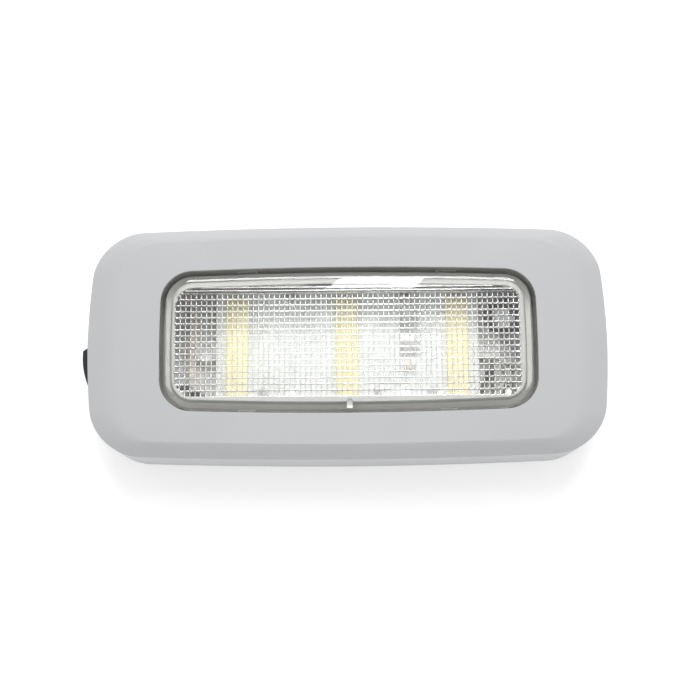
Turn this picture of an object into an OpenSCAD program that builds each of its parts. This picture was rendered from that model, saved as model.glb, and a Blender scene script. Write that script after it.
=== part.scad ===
// Interior reading light with three light bars, a prismatic lens and a side rocker switch.
// Origin: centre of the flat back. +Z points out of the lens, +X along the length.
// The rocker switch sits in the end wall at -X.

/* [Housing] */
// Length over the middle of the end walls
body_l = 145; // [138:1:160]
// Width over the middle of the long walls
body_w = 66; // [62:1:76]
// Height from the flat back to the front face
body_h = 24; // [23:0.5:30]
// Corner radius of the outline
corner_r = 12.6; // [9:0.2:15]
// How far the corners lie behind the middle of a long wall
long_bow = 1.7; // [0:0.1:3]
// How far the corners lie behind the middle of an end wall
end_bow = 2.6; // [0:0.1:3.5]
// Wall thickness
wall_t = 2; // [1.7:0.1:2.4]
// Thickness of the front face
face_t = 2.2; // [1.8:0.1:2.6]
// Height of the sloping edge round the front face
edge_drop = 3.6; // [2:0.1:5]
// Width of the sloping edge along the long walls
edge_w = 3.9; // [2.5:0.1:5]
// Width of the softer edge at the two ends
end_edge_w = 8.5; // [5:0.5:10]

/* [Window and lens] */
// Length of the window in the front face
window_l = 104.4; // [100:0.2:110]
// Width of the window
window_w = 41; // [39:0.2:44]
// Corner radius of the window
window_r = 8.2; // [6:0.2:10]
// How far the window corners lie behind the middle of its long edges
window_bow = 1.1; // [0:0.1:1.5]
// How far the window corners lie behind the middle of its short edges
window_end_bow = 0.5; // [0:0.1:1]
// Depth of the well behind the window
well_depth = 9; // [8:0.5:11]
// Wall of the well
well_t = 1.5; // [1.2:0.1:2]
// Thickness of the ledge that the lens stands on
ledge_t = 1.4; // [1:0.1:2]
// How far the ledge reaches in from the well wall
ledge_w = 2.7; // [2.4:0.1:3.2]
// Open joint between window and lens
lens_gap = 1.1; // [0.6:0.1:1.3]
// Wall thickness of the lens skirt
lens_wall = 1.9; // [1.5:0.1:2.2]
// Thickness of the lens roof above the prisms
lens_roof = 2.3; // [1.6:0.1:2.8]
// Radius of the rounded lens edge
lens_edge_r = 3; // [2:0.2:3.4]
// How far the lens stands above the front face
lens_proud = 0.2; // [0:0.1:1]
// Prisms along the length
prism_cols = 66; // [40:1:66]
// Prisms across the width
prism_rows = 17; // [12:1:17]
// Pitch of the prisms along the length
prism_x = 1.45; // [1:0.05:1.45]
// Pitch of the prisms across the width
prism_y = 1.71; // [1:0.01:1.71]
// How far the prisms sit from the middle towards the -Y side
prism_shift = 1.1; // [0:0.1:1.2]
// Height of a prism
prism_h = 0.7; // [0.4:0.1:1]
// Width of the notch that a screwdriver lifts the lens by
notch_w = 1.8; // [1:0.1:2.5]
// Length of that notch, from the lens edge inward
notch_l = 3.1; // [2:0.1:4]
// Distance of the lens catches from the middle
catch_x = 28; // [20:1:34]
// Width of a lens catch
catch_w = 5; // [3:0.5:8]

/* [Base plate] */
// Thickness of the base plate
plate_t = 2; // [1.6:0.1:2.6]
// Wall left beside the base plate, in the rebate that it sits in
rebate_wall = 1.1; // [0.8:0.1:1.4]
// Clearance round the base plate
plate_clear = 0.25; // [0.1:0.05:0.4]
// Distance between the two mounting holes
mount_spacing = 82; // [81:0.5:83]
// Diameter of a mounting hole
mount_hole_d = 4.3; // [3:0.1:4.5]
// Diameter of a mounting boss
mount_boss_d = 6.4; // [6:0.1:6.6]
// Height of a mounting boss above the back
mount_boss_h = 5; // [3:0.5:6.5]
// Distance of the cable inlet from the end of the body
inlet_end = 26.9; // [25.5:0.2:27.5]
// Distance of the cable inlet from the middle, across the width
inlet_y = 9.8; // [9.4:0.2:11]
// Clear bore of the grommet in the cable inlet
inlet_bore_d = 6; // [4:0.2:6.4]
// Diameter of the grommet's two rims
grommet_d = 11.6; // [11:0.2:12]
// Distance of the outer base plate hooks from the middle
hook_x = 44; // [38:1:50]
// Width of a base plate hook
hook_w = 7; // [5:0.5:9]

/* [Light board] */
// Length of the board
board_l = 74.6; // [72:0.2:75]
// Width of the board
board_w = 34; // [32:0.5:35]
// Thickness of the board
board_t = 1.6; // [1:0.1:2]
// Height of the board's underside above the back
board_z = 7; // [6:0.5:8]
// Distance of the outer light bars from the ends of the board
bar_end = 2.2; // [2:0.1:3]
// Width of a light bar
bar_w = 7; // [6:0.2:8]
// Length of a light bar
bar_l = 29; // [26:0.5:30]
// Thickness of a light bar without its glowing field
bar_t = 1; // [0.8:0.1:1.4]
// Distance of the board screws from the middle, along the length
screw_x = 16.2; // [14:0.2:18]
// Distance of the board screws from the middle, across the width
screw_y = 14; // [13:0.2:14]
// Shank diameter of a board screw
screw_d = 2.2; // [2:0.1:2.6]

/* [Rocker switch] */
// Place of the switch across the width
switch_y = -5.5; // [-9:0.5:4]
// Height of the switch centre above the back
switch_z = 10.5; // [9.5:0.5:11.5]
// Radius of the rocker's ends about its hinge
rocker_r = 6.1; // [5.6:0.1:6.5]
// Width of the rocker
rocker_w = 7.2; // [6.4:0.2:8]
// Radius of the rocker's curved top
rocker_top_r = 21; // [16:1:30]
// Height of the rocker's top above its hinge when level
rocker_rise = 3.9; // [3.4:0.1:4.4]
// Half of the rocker's swing
rocker_tilt = 10; // [6:1:11]
// Diameter of the rocker's hinge pins
pin_d = 2; // [1.6:0.1:2.4]
// Clearance round the rocker in its frame
rocker_clear = 0.2; // [0.15:0.05:0.3]
// Wall of the switch body
case_t = 0.8; // [0.7:0.1:1]
// Thickness of the switch flange
flange_t = 1.2; // [1:0.1:1.4]
// How far the flange reaches past the switch body
flange_over = 0.8; // [0.6:0.1:1.2]
// Depth of the recess in the end wall that takes the flange
recess_d = 1.1; // [0.9:0.1:1.2]
// Depth of the rocker's hinge behind the end wall
hinge_depth = 1.6; // [1.4:0.1:1.8]
// Depth of the switch body behind the flange
case_depth = 9.3; // [9.3:0.1:10]
// Width of a terminal tab
tab_w = 2.8; // [2:0.1:3.2]
// Thickness of a terminal tab
tab_t = 0.5; // [0.4:0.1:0.8]
// Length of a terminal tab behind the switch body
tab_l = 6.5; // [5:0.5:7]
// Half of the contact blade's swing
blade_tilt = 6; // [4:0.5:6.5]

/* [Leads] */
// Diameter of a lead with its insulation
lead_d = 1.6; // [1.2:0.1:1.8]

/* [Hidden] */

$fn = 48;
// Depth by which shapes of one piece run into each other
join = 0.3;
// How far a cut runs past the face it opens
past = 1;
// Steps in a corner arc and along a bowed side
arc_steps = 8;
side_steps = 8;
// Steps over the sloping edge of the housing and over the rounded lens edge
edge_steps = 6;
round_steps = 5;

// Heights that several pieces share
face_z = body_h - face_t;
well_z = body_h - well_depth;
seat_z = well_z + ledge_t;
lens_top = body_h + lens_proud;
roof_z = lens_top - lens_roof;
board_top = board_z + board_t;
board_end = board_l / 2;
bar_pitch = board_end - bar_end - bar_w / 2;

// Lens catches and the slots that they click into
catch_z = seat_z + 2.5;
catch_h = 1.6;
catch_reach = 0.8;
catch_clear = 0.3;
notch_depth = 1.3;

// Base plate hooks and their pockets in the housing wall
hook_t = 1.5;
hook_h = 9;
hook_barb = 0.9;
hook_gap = 0.3;
barb_h = 1.8;

// Ribs of the base plate and the clips that hold the supply lead down
rib_t = 1.2;
stiffener_l = 60;
stiffener_h = 1.5;
stiffener_y = 8;
clip_x = 20;
clip_l = 4;
clip_h = 2.8;
lead_run_y = -25;
lead_gap = 0.3;

// Screws, posts and holes
hole_clear = 0.1;
post_d = 5;
head_d = 4.2;
head_h = 1.4;
screw_l = 7;

// Cable grommet and the boss that it sits in
inlet_x = body_l / 2 - inlet_end;
rim_t = 1;
neck_d = 9;
inlet_boss_d = 14;
inlet_boss_h = 3.4;
rim_sink = rim_t + 0.2;

// Terminal block between the right end of the board and the end wall
block_l = 8;
block_gap = 4.3;
block_x = board_end + block_gap + block_l / 2;
block_y = -inlet_y;
block_w = 10.4;
block_h = 9.5;
pole_pitch = 5;
pole_z = plate_t + 4;
cage_l = 5;
cage_w = 3.6;
cage_h = 4;
clamp_d = 2.5;
wire_hole_d = 2.4;
cradle_h = 2;

// Small parts on the board
resistor_l = 3.2;
resistor_w = 1.6;
resistor_h = 0.6;
resistor_step = 7.4;
resistor_edge = 5;
resistor_y = resistor_edge - board_w / 2;
chip_w = 3.9;
chip_x = bar_pitch / 2 + 2;
rectifier_l = 4.7;
rectifier_y = 7.6;
driver_l = 4.9;
driver_y = 0.6;
capacitor_y = -5;
glow_h = 0.3;
glow_rim = 0.8;
pad_x = board_end - bar_end / 2;
pad_edge = 2.6;
pad_y = pad_edge - board_w / 2;

// Rocker switch: x along the rocker, y out of the end wall, z along its hinge
flange_seat = hinge_depth - recess_d;
flange_face = flange_seat + flange_t;
case_half_l = rocker_r + rocker_clear + case_t;
case_half_w = rocker_w / 2 + rocker_clear + case_t;
case_back = flange_seat - case_depth;
case_floor = case_back + 1.2;
cutout_clear = 0.1;
pad_t = 2;
pad_reach = 2;
rocker_skirt = 1.6;
shell_t = 0.8;
saddle_r = 0.5;
saddle_h = 1.35;
saddle_y = case_floor + saddle_h;
run_gap = 0.05;
blade_t = 0.4;
blade_l = 9.2;
blade_w = 2.6;
blade_under = saddle_r + run_gap;
contact_x = 3.9;
contact_d = 1.4;
contact_h = 0.3;
tip_gap = 0.1;
tip_y = saddle_y + blade_under + blade_t + tip_gap;
plunger_d = 1.8;
plunger_top = -0.6;
guide_d = 3.4;
guide_end = -2.2;
guide_roof = 2.5;
spring_wire = 0.25;
spring_turns = 6;
tab_mid = case_back - tab_l * 0.75;

function unit(v) = v / norm(v);

// One point of a rectangle, moved in by the bow of its two sides
function bowed(p, l, w, bow, end_bow) = [
    p.x - sign(p.x) * end_bow * pow(2 * p.y / w, 2),
    p.y - sign(p.y) * bow * pow(2 * p.x / l, 2)];

function corner_point(l, w, r, turn, step) =
    let (a = 90 * (turn + step / arc_steps), q = turn % 4)
    [(q == 0 || q == 3 ? 1 : -1) * (l / 2 - r) + r * cos(a),
     (q < 2 ? 1 : -1) * (w / 2 - r) + r * sin(a)];

// Closed outline of a rectangle with round corners and bowed sides
function outline(l, w, r, bow, end_bow) = [
    for (turn = [0:3]) each concat(
        [for (i = [0:arc_steps]) bowed(corner_point(l, w, r, turn, i), l, w, bow, end_bow)],
        let (a = corner_point(l, w, r, turn, arc_steps), b = corner_point(l, w, r, turn + 1, 0))
        [for (i = [1:side_steps - 1]) bowed(a + (b - a) * i / side_steps, l, w, bow, end_bow)])];

function lift(ring, z) = [for (p = ring) [p.x, p.y, z]];

function body_ring(along, across) = outline(body_l - 2 * along, body_w - 2 * across,
    max(corner_r - across, 2), long_bow, end_bow);

function window_ring(inset) = outline(window_l - 2 * inset, window_w - 2 * inset,
    window_r - inset, window_bow, window_end_bow);

// Half widths at a distance from the middle of a long side
function wall_y(x, inset) = body_w / 2 - inset - long_bow * pow(2 * x / (body_l - 2 * inset), 2);
function window_y(x, inset) = window_w / 2 - inset
    - window_bow * pow(2 * x / (window_l - 2 * inset), 2);

// Solid through closed rings of equally many points, from the lowest to the highest
module loft(rings) {
    n = len(rings[0]);
    top = len(rings) - 1;
    sides = [for (j = [0:top - 1], i = [0:n - 1])
        let (a = j * n + i, b = j * n + (i + 1) % n)
        each [[a, a + n, b + n], [a, b + n, b]]];
    polyhedron(
        points = [for (ring = rings) each ring],
        faces = concat([[for (i = [0:n - 1]) i]], sides, [[for (i = [n - 1:-1:0]) top * n + i]]));
}

// Outer form of the housing, or its cavity: a straight wall and a sloping, rounded edge
module body_form(inset, low, high) {
    function end_slope(u) = end_edge_w * (1 - pow(1 - u, 0.55));
    function long_slope(u) = edge_w * (1 - pow(1 - u, 0.85));
    edge = [for (i = [0:edge_steps])
        let (u = i / edge_steps)
        lift(body_ring(inset + end_slope(u), inset + long_slope(u)), high - edge_drop * (1 - u))];
    loft(concat([lift(body_ring(inset, inset), low)], edge));
}

module window_prism(inset, low, high) {
    translate([0, 0, low]) linear_extrude(high - low) polygon(window_ring(inset));
}

module block(x, y, z) {
    translate([-x / 2, -y / 2, 0]) cube([x, y, z]);
}

module both_sides() {
    children();
    mirror([0, 1, 0]) children();
}

// Tube along a list of points, with rings that don't twist
module tube(path, d, sides) {
    last = len(path) - 1;
    function along(i) = unit(path[min(i + 1, last)] - path[max(i - 1, 0)]);
    function normals(i, n) = i > last ? [] :
        let (t = along(i), m = unit(n - (n * t) * t)) concat([m], normals(i + 1, m));
    start = along(0);
    first = unit(cross(start, abs(start.z) < 0.9 ? [0, 0, 1] : [1, 0, 0]));
    out = normals(0, first);
    loft([for (i = [0:last])
        [for (k = [0:sides - 1])
            let (a = 360 * k / sides)
            path[i] + d / 2 * (cos(a) * out[i] + sin(a) * cross(along(i), out[i]))]]);
}

// Smooth route through chosen points
function between(a, b, c, d, t) = 0.5 * (2 * b + (c - a) * t
    + (2 * a - 5 * b + 4 * c - d) * t * t + (3 * b - a - 3 * c + d) * t * t * t);
function route(p, steps) = let (last = len(p) - 1) concat(
    [for (i = [0:last - 1], s = [0:steps - 1])
        between(p[max(i - 1, 0)], p[i], p[i + 1], p[min(i + 2, last)], s / steps)],
    [p[last]]);

module lead(points) {
    tube(route(points, 4), lead_d, 8);
}

// The moulded shell: bowed walls, window with its well and ledge, switch opening
module housing() {
    color("gainsboro") difference() {
        union() {
            difference() {
                body_form(0, 0, body_h);
                body_form(wall_t, plate_t - join, face_z);
            }
            window_prism(-well_t, well_z, body_h - face_t / 2);
            well_ribs();
            switch_pad();
        }
        translate([0, 0, -past]) linear_extrude(plate_t + past)
            polygon(body_ring(rebate_wall, rebate_wall));
        window_prism(0, seat_z, body_h + past);
        window_prism(ledge_w, well_z - past, body_h);
        catch_slots();
        hook_pockets();
        switch_opening();
    }
}

// Ribs that tie the well to the long walls, below the sloping edge
module well_ribs() {
    foot = well_z + 2;
    for (x = [-1.5, -0.5, 0.5, 1.5] * catch_x) {
        inner = window_y(x, 0) + join;
        outer = wall_y(x, wall_t) + join;
        both_sides() translate([x - rib_t / 2, 0, 0]) rotate([90, 0, 90]) linear_extrude(rib_t)
            polygon([[inner, foot], [outer, foot], [outer, face_z - edge_drop],
                [outer - edge_w, face_z + join], [inner, face_z + join]]);
    }
}

module catch_slots() {
    for (x = [-catch_x, catch_x])
        both_sides() translate([x, window_y(x, 0) - join, catch_z - catch_clear])
            translate([-catch_w / 2 - catch_clear, 0, 0])
                cube([catch_w + 2 * catch_clear, well_t + 2 * join, catch_h + 2 * catch_clear]);
}

module hook_pockets() {
    for (x = [-hook_x, 0, hook_x])
        both_sides() translate([x, wall_y(x, wall_t) - join, hook_h - barb_h - hook_gap])
            translate([-hook_w / 2 - hook_gap, 0, 0])
                cube([hook_w + 2 * hook_gap, hook_barb + join, barb_h + 2 * hook_gap]);
}

module switch_pad() {
    translate([-body_l / 2 + wall_t / 2, switch_y - case_half_l - pad_reach,
        switch_z - case_half_w - pad_reach])
        cube([recess_d + pad_t - wall_t / 2, 2 * (case_half_l + pad_reach),
            2 * (case_half_w + pad_reach)]);
}

module switch_opening() {
    at_switch() {
        slab(2 * (case_half_w + cutout_clear))
            translate([-case_half_l - cutout_clear, -pad_t - past])
                square([2 * (case_half_l + cutout_clear), pad_t + 3 * past]);
        slab(2 * (case_half_w + flange_over + 2 * cutout_clear))
            translate([-case_half_l - flange_over - 2 * cutout_clear, flange_seat])
                square([2 * (case_half_l + flange_over + 2 * cutout_clear), recess_d + past]);
    }
}

// Clear cover: rounded edge, skirt, catches, and rows of prisms on its inner face
module lens() {
    color([0.85, 0.92, 0.95, 0.5]) difference() {
        union() {
            difference() {
                lens_form();
                window_prism(lens_gap + lens_wall, seat_z - past, roof_z);
            }
            prism_field();
            lens_catches();
        }
        lift_notch();
    }
}

module lens_form() {
    rounded = [for (i = [0:round_steps])
        let (a = 90 * i / round_steps)
        lift(window_ring(lens_gap + lens_edge_r * (1 - cos(a))),
            lens_top - lens_edge_r * (1 - sin(a)))];
    loft(concat([lift(window_ring(lens_gap), seat_z)], rounded));
}

// Four-sided prisms that point inward, side by side under the lens roof
module prism_field() {
    row = prism_cols + 1;
    base = row * (prism_rows + 1);
    roof = base + prism_cols * prism_rows;
    x0 = -prism_cols * prism_x / 2;
    y0 = -prism_rows * prism_y / 2 - prism_shift;
    y1 = y0 + prism_rows * prism_y;
    valleys = [for (j = [0:prism_rows], i = [0:prism_cols]) [x0 + i * prism_x, y0 + j * prism_y, 0]];
    tips = [for (j = [0:prism_rows - 1], i = [0:prism_cols - 1])
        [x0 + (i + 0.5) * prism_x, y0 + (j + 0.5) * prism_y, -prism_h]];
    corners = [[x0, y0, join], [-x0, y0, join], [-x0, y1, join], [x0, y1, join]];
    slopes = [for (j = [0:prism_rows - 1], i = [0:prism_cols - 1])
        let (a = j * row + i, tip = base + j * prism_cols + i)
        each [[a, a + 1, tip], [a + 1, a + row + 1, tip],
              [a + row + 1, a + row, tip], [a + row, a, tip]]];
    front = concat([roof, roof + 1], [for (i = [prism_cols:-1:0]) i]);
    right = concat([roof + 1, roof + 2], [for (j = [prism_rows:-1:0]) j * row + prism_cols]);
    back = concat([roof + 2, roof + 3], [for (i = [0:prism_cols]) prism_rows * row + i]);
    left = concat([roof + 3, roof], [for (j = [0:prism_rows]) j * row]);
    translate([0, 0, roof_z]) polyhedron(
        points = concat(valleys, tips, corners),
        faces = concat(slopes, [front, right, back, left, [roof + 3, roof + 2, roof + 1, roof]]));
}

module lens_catches() {
    reach = lens_gap + catch_reach;
    for (x = [-catch_x, catch_x])
        both_sides() translate([x - catch_w / 2, window_y(x, lens_gap), catch_z])
            rotate([90, 0, 90]) linear_extrude(catch_w)
                polygon([[-lens_wall / 2, 0], [0, 0], [reach, catch_h * 0.6],
                    [reach, catch_h], [-lens_wall / 2, catch_h]]);
}

module lift_notch() {
    edge = -window_w / 2 + lens_gap;
    translate([0, edge + notch_l - notch_w / 2, lens_top - notch_depth]) {
        cylinder(d = notch_w, h = notch_depth + past);
        translate([-notch_w / 2, -notch_l, 0]) cube([notch_w, notch_l, notch_depth + past]);
    }
}

// Back cover that sits in the rebate and carries the board, block and inlet
module base_plate() {
    color("whitesmoke") difference() {
        union() {
            linear_extrude(plate_t)
                polygon(body_ring(rebate_wall + plate_clear, rebate_wall + plate_clear));
            hooks();
            at_board_screws() translate([0, 0, plate_t - join])
                cylinder(d = post_d, h = board_z - plate_t + join);
            at_mounts() cylinder(d = mount_boss_d, h = mount_boss_h);
            translate([inlet_x, inlet_y, 0]) cylinder(d = inlet_boss_d, h = inlet_boss_h);
            block_cradle();
            lead_clips();
            stiffeners();
        }
        at_board_screws() translate([0, 0, board_top - screw_l - join])
            cylinder(d = screw_d + hole_clear, h = screw_l);
        at_mounts() translate([0, 0, -past])
            cylinder(d = mount_hole_d, h = mount_boss_h + 2 * past);
        translate([inlet_x, inlet_y, -past]) {
            cylinder(d = neck_d + hole_clear, h = inlet_boss_h + 2 * past);
            cylinder(d = grommet_d + 4 * hole_clear, h = rim_sink + past);
        }
    }
}

module at_board_screws() {
    for (x = [-screw_x, screw_x], y = [-screw_y, screw_y]) translate([x, y, 0]) children();
}

module at_mounts() {
    for (x = [-mount_spacing / 2, mount_spacing / 2]) translate([x, 0, 0]) children();
}

// Upright arms whose barbs click into the pockets of the housing wall
module hooks() {
    for (x = [-hook_x, 0, hook_x])
        both_sides() translate([x - hook_w / 2, wall_y(x, wall_t) - hook_gap, 0])
            rotate([90, 0, 90]) linear_extrude(hook_w)
                polygon([[-hook_t, plate_t - join], [0, plate_t - join], [0, hook_h - barb_h],
                    [hook_barb, hook_h - barb_h], [0, hook_h], [-hook_t, hook_h]]);
}

module block_cradle() {
    for (side = [-1, 1])
        translate([block_x, block_y + side * (block_w / 2 + hole_clear + rib_t / 2), plate_t - join])
            block(block_l, rib_t, cradle_h + join);
}

module lead_clips() {
    for (x = [-clip_x, clip_x], side = [-1, 1])
        translate([x, lead_run_y + side * (lead_d / 2 + hole_clear + rib_t / 2), plate_t - join])
            block(clip_l, rib_t, clip_h + join);
}

module stiffeners() {
    for (y = [-stiffener_y, stiffener_y])
        translate([0, y, plate_t - join]) block(stiffener_l, rib_t, stiffener_h + join);
}

module cable_grommet() {
    bore = inlet_bore_d / 2;
    rim = grommet_d / 2;
    neck = neck_d / 2;
    low = rim_sink;
    color("black") translate([inlet_x, inlet_y, 0]) rotate_extrude()
        polygon([[bore, low - rim_t], [rim, low - rim_t], [rim, low], [neck, low],
            [neck, inlet_boss_h], [rim, inlet_boss_h], [rim - 0.4, inlet_boss_h + rim_t],
            [bore, inlet_boss_h + rim_t]]);
}

module led_board() {
    color("white") difference() {
        translate([0, 0, board_z]) linear_extrude(board_t)
            polygon(outline(board_l, board_w, 1.5, 0, 0));
        at_board_screws() translate([0, 0, board_z - past])
            cylinder(d = screw_d + 4 * hole_clear, h = board_t + 2 * past);
    }
}

// Light bar: flat carrier with a raised glowing field that has round ends
module led_bar(x) {
    glow_w = bar_w - 2 * glow_rim;
    translate([x, 0, board_top]) {
        block(bar_w, bar_l, bar_t);
        for (y = [-1, 1] * (bar_l - 2 * glow_rim - glow_w) / 2) translate([0, y, bar_t - join])
            cylinder(d = glow_w, h = glow_h + join);
        translate([0, 0, bar_t - join]) block(glow_w, bar_l - 2 * glow_rim - glow_w, glow_h + join);
    }
}

module led_bar_left() { color("khaki") led_bar(-bar_pitch); }
module led_bar_middle() { color("khaki") led_bar(0); }
module led_bar_right() { color("khaki") led_bar(bar_pitch); }

module resistor(x) {
    color("dimgray") translate([x, resistor_y, board_top])
        block(resistor_l, resistor_w, resistor_h);
}

module resistor_left() { resistor(-bar_pitch + resistor_step); }
module resistor_middle() { resistor(resistor_step + 1); }
module resistor_right() { resistor(bar_pitch - resistor_step); }

// Flat package with bent legs along its two long sides
module package(l, w, h, legs, pitch) {
    translate([0, 0, 0.1]) block(l, w, h - 0.1);
    for (i = [0:legs - 1])
        both_sides() translate([(i - (legs - 1) / 2) * pitch - 0.2, w / 2, 0])
            rotate([90, 0, 90]) linear_extrude(0.4)
                polygon([[-join, h * 0.45], [0.35, h * 0.45], [0.55, 0.15], [1, 0.15], [1, 0],
                    [0.4, 0], [0.2, h * 0.3], [-join, h * 0.3]]);
}

module rectifier() {
    color("#2b2b2b") translate([chip_x, rectifier_y, board_top])
        package(rectifier_l, chip_w, 1.6, 2, 2.5);
}

module driver_chip() {
    color("#2b2b2b") translate([chip_x, driver_y, board_top])
        package(driver_l, chip_w, 1.5, 4, 1.27);
}

module capacitor() {
    color("tan") translate([chip_x, capacitor_y, board_top]) block(3.2, 2.5, 1.4);
}

// Pan-head screws with a cross recess
module board_screws() {
    color("silver") at_board_screws() translate([0, 0, board_top]) difference() {
        union() {
            cylinder(d = head_d, h = head_h * 0.5);
            cylinder(d1 = head_d, d2 = head_d * 0.7, h = head_h);
            translate([0, 0, -screw_l + 0.6]) cylinder(d = screw_d, h = screw_l);
            translate([0, 0, -screw_l]) cylinder(d1 = 0.6, d2 = screw_d, h = 0.6);
        }
        translate([0, 0, head_h - 0.7]) {
            block(0.5, 2.2, 1);
            block(2.2, 0.5, 1);
        }
    }
}

module at_poles() {
    for (side = [-0.5, 0.5]) translate([block_x, block_y + side * pole_pitch, 0]) children();
}

module terminal_block() {
    color("#3a3a3a") difference() {
        translate([block_x, block_y, plate_t]) block(block_l, block_w, block_h);
        at_poles() {
            translate([0, 0, pole_z - cage_h / 2 - hole_clear])
                block(cage_l + 2 * hole_clear, cage_w + 2 * hole_clear, cage_h + 2 * hole_clear);
            translate([0, 0, pole_z]) rotate([0, 90, 0])
                cylinder(d = wire_hole_d, h = block_l + 2 * past, center = true);
            translate([0, 0, pole_z]) cylinder(d = clamp_d + 1, h = block_h);
        }
    }
}

// Brass clamps, one round each lead end
module terminal_cages() {
    color("goldenrod") difference() {
        at_poles() translate([0, 0, pole_z - cage_h / 2]) block(cage_l, cage_w, cage_h);
        at_poles() {
            translate([0, 0, pole_z]) rotate([0, 90, 0])
                cylinder(d = wire_hole_d, h = cage_l + 2 * past, center = true);
            translate([0, 0, pole_z]) cylinder(d = clamp_d + hole_clear, h = cage_h);
        }
    }
}

module terminal_screws() {
    top = plate_t + block_h - 0.6;
    tip = pole_z + lead_d / 2 + run_gap;
    color("silver") difference() {
        at_poles() translate([0, 0, tip]) cylinder(d = clamp_d, h = top - tip);
        at_poles() translate([0, 0, top - 0.8]) block(0.6, clamp_d + past, 2);
    }
}

// Puts a shape drawn in the switch's own frame into its place in the end wall
module at_switch() {
    translate([-body_l / 2 + hinge_depth, switch_y, switch_z]) rotate([0, 0, 90]) children();
}

module slab(w) {
    translate([0, 0, -w / 2]) linear_extrude(w) children();
}

module hinge_rod(d, l) {
    cylinder(d = d, h = l, center = true);
}

module switch_body() {
    inner_l = rocker_r + rocker_clear;
    inner_w = rocker_w + 2 * rocker_clear;
    color("#1c1c1e") at_switch() difference() {
        union() {
            slab(2 * case_half_w) translate([-case_half_l, case_back])
                square([2 * case_half_l, flange_face - case_back]);
            slab(2 * (case_half_w + flange_over))
                translate([-case_half_l - flange_over, flange_seat])
                    square([2 * (case_half_l + flange_over), flange_t]);
            snap_wings();
        }
        slab(inner_w) difference() {
            translate([-inner_l, case_floor]) square([2 * inner_l, flange_face - case_floor + past]);
            translate([contact_x - 0.5, case_floor - past])
                square([1.4, past + saddle_h - 0.05]);
        }
        hinge_rod(pin_d + 2 * run_gap, 2 * case_half_w + past);
        for (x = [0, -contact_x]) translate([x, 0, 0])
            slab(tab_w + hole_clear) translate([-tab_t / 2 - run_gap, case_back - past])
                square([tab_t + 2 * run_gap, case_floor - case_back + 2 * past]);
    }
}

// Tongues that hold the switch behind the end wall
module snap_wings() {
    behind = flange_seat - pad_t - hole_clear;
    for (side = [0, 1]) mirror([side, 0, 0])
        slab(4) polygon([[case_half_l - join, behind], [case_half_l + 0.9, behind],
            [case_half_l, behind - 3.4], [case_half_l - join, behind - 3.4]]);
}

// Everything that tilts with the rocker, as it lies with its far end raised
module tilted(a) {
    at_switch() rotate([0, 0, a]) children();
}

module rocker_profile(inset) {
    intersection() {
        circle(r = rocker_r - inset, $fn = 96);
        translate([0, rocker_rise - rocker_top_r]) circle(r = rocker_top_r - inset, $fn = 160);
        translate([-rocker_r, inset > 0 ? -rocker_r : -rocker_skirt])
            square([2 * rocker_r, 2 * rocker_r]);
    }
}

module rocker() {
    color("#1c1c1e") tilted(rocker_tilt) difference() {
        union() {
            difference() {
                slab(rocker_w) rocker_profile(0);
                slab(rocker_w - 2 * shell_t) rocker_profile(shell_t);
            }
            translate([0, guide_end, 0]) rotate([-90, 0, 0])
                cylinder(d = guide_d, h = rocker_rise - shell_t / 2 - guide_end);
            hinge_pins();
        }
        translate([0, guide_end - past, 0]) rotate([-90, 0, 0])
            cylinder(d = plunger_d + 2 * run_gap, h = guide_roof - guide_end + past);
    }
}

module hinge_pins() {
    pin_l = rocker_clear + case_t;
    for (side = [0, 1]) mirror([0, 0, side])
        translate([0, 0, rocker_w / 2 - shell_t / 2]) cylinder(d = pin_d, h = shell_t / 2 + pin_l);
}

// Round-nosed pin that presses on the contact blade
module plunger() {
    color("ivory") tilted(rocker_tilt) {
        translate([0, tip_y + plunger_d / 2, 0]) sphere(d = plunger_d);
        translate([0, tip_y + plunger_d / 2, 0]) rotate([-90, 0, 0])
            cylinder(d = plunger_d, h = plunger_top - tip_y - plunger_d / 2);
    }
}

module plunger_spring() {
    coil_d = plunger_d - spring_wire - 2 * run_gap;
    low = plunger_top + spring_wire / 2 + run_gap;
    high = guide_roof - spring_wire / 2 - run_gap;
    coils = [for (i = [0:spring_turns * 10])
        let (a = 36 * i, f = i / (spring_turns * 10))
        [coil_d / 2 * cos(a), low + (high - low) * f, coil_d / 2 * sin(a)]];
    color("silver") tilted(rocker_tilt) tube(coils, spring_wire, 6);
}

// See-saw strip with a contact under one end
module contact_blade() {
    color("peru") at_switch() translate([0, saddle_y, 0]) rotate([0, 0, -blade_tilt]) {
        slab(blade_w) translate([-blade_l / 2, blade_under]) square([blade_l, blade_t]);
        translate([-contact_x, blade_under - contact_h, 0]) rotate([-90, 0, 0])
            cylinder(d = contact_d, h = contact_h + blade_t / 2);
    }
}

module terminal_common() {
    color("goldenrod") at_switch() {
        slab(tab_w) translate([-tab_t / 2, case_back - tab_l])
            square([tab_t, saddle_y - case_back + tab_l]);
        translate([0, saddle_y, 0]) hinge_rod(2 * saddle_r, tab_w);
    }
}

module terminal_switched() {
    closed = saddle_y + (blade_under - contact_h) * cos(blade_tilt)
        - (contact_x + contact_d / 2) * sin(blade_tilt) - run_gap;
    color("goldenrod") at_switch() translate([-contact_x, 0, 0]) {
        slab(tab_w) translate([-tab_t / 2, case_back - tab_l])
            square([tab_t, closed - 0.4 - case_back + tab_l]);
        translate([0, closed - 0.6, 0]) rotate([-90, 0, 0]) cylinder(d = contact_d, h = 0.6);
    }
}

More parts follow.
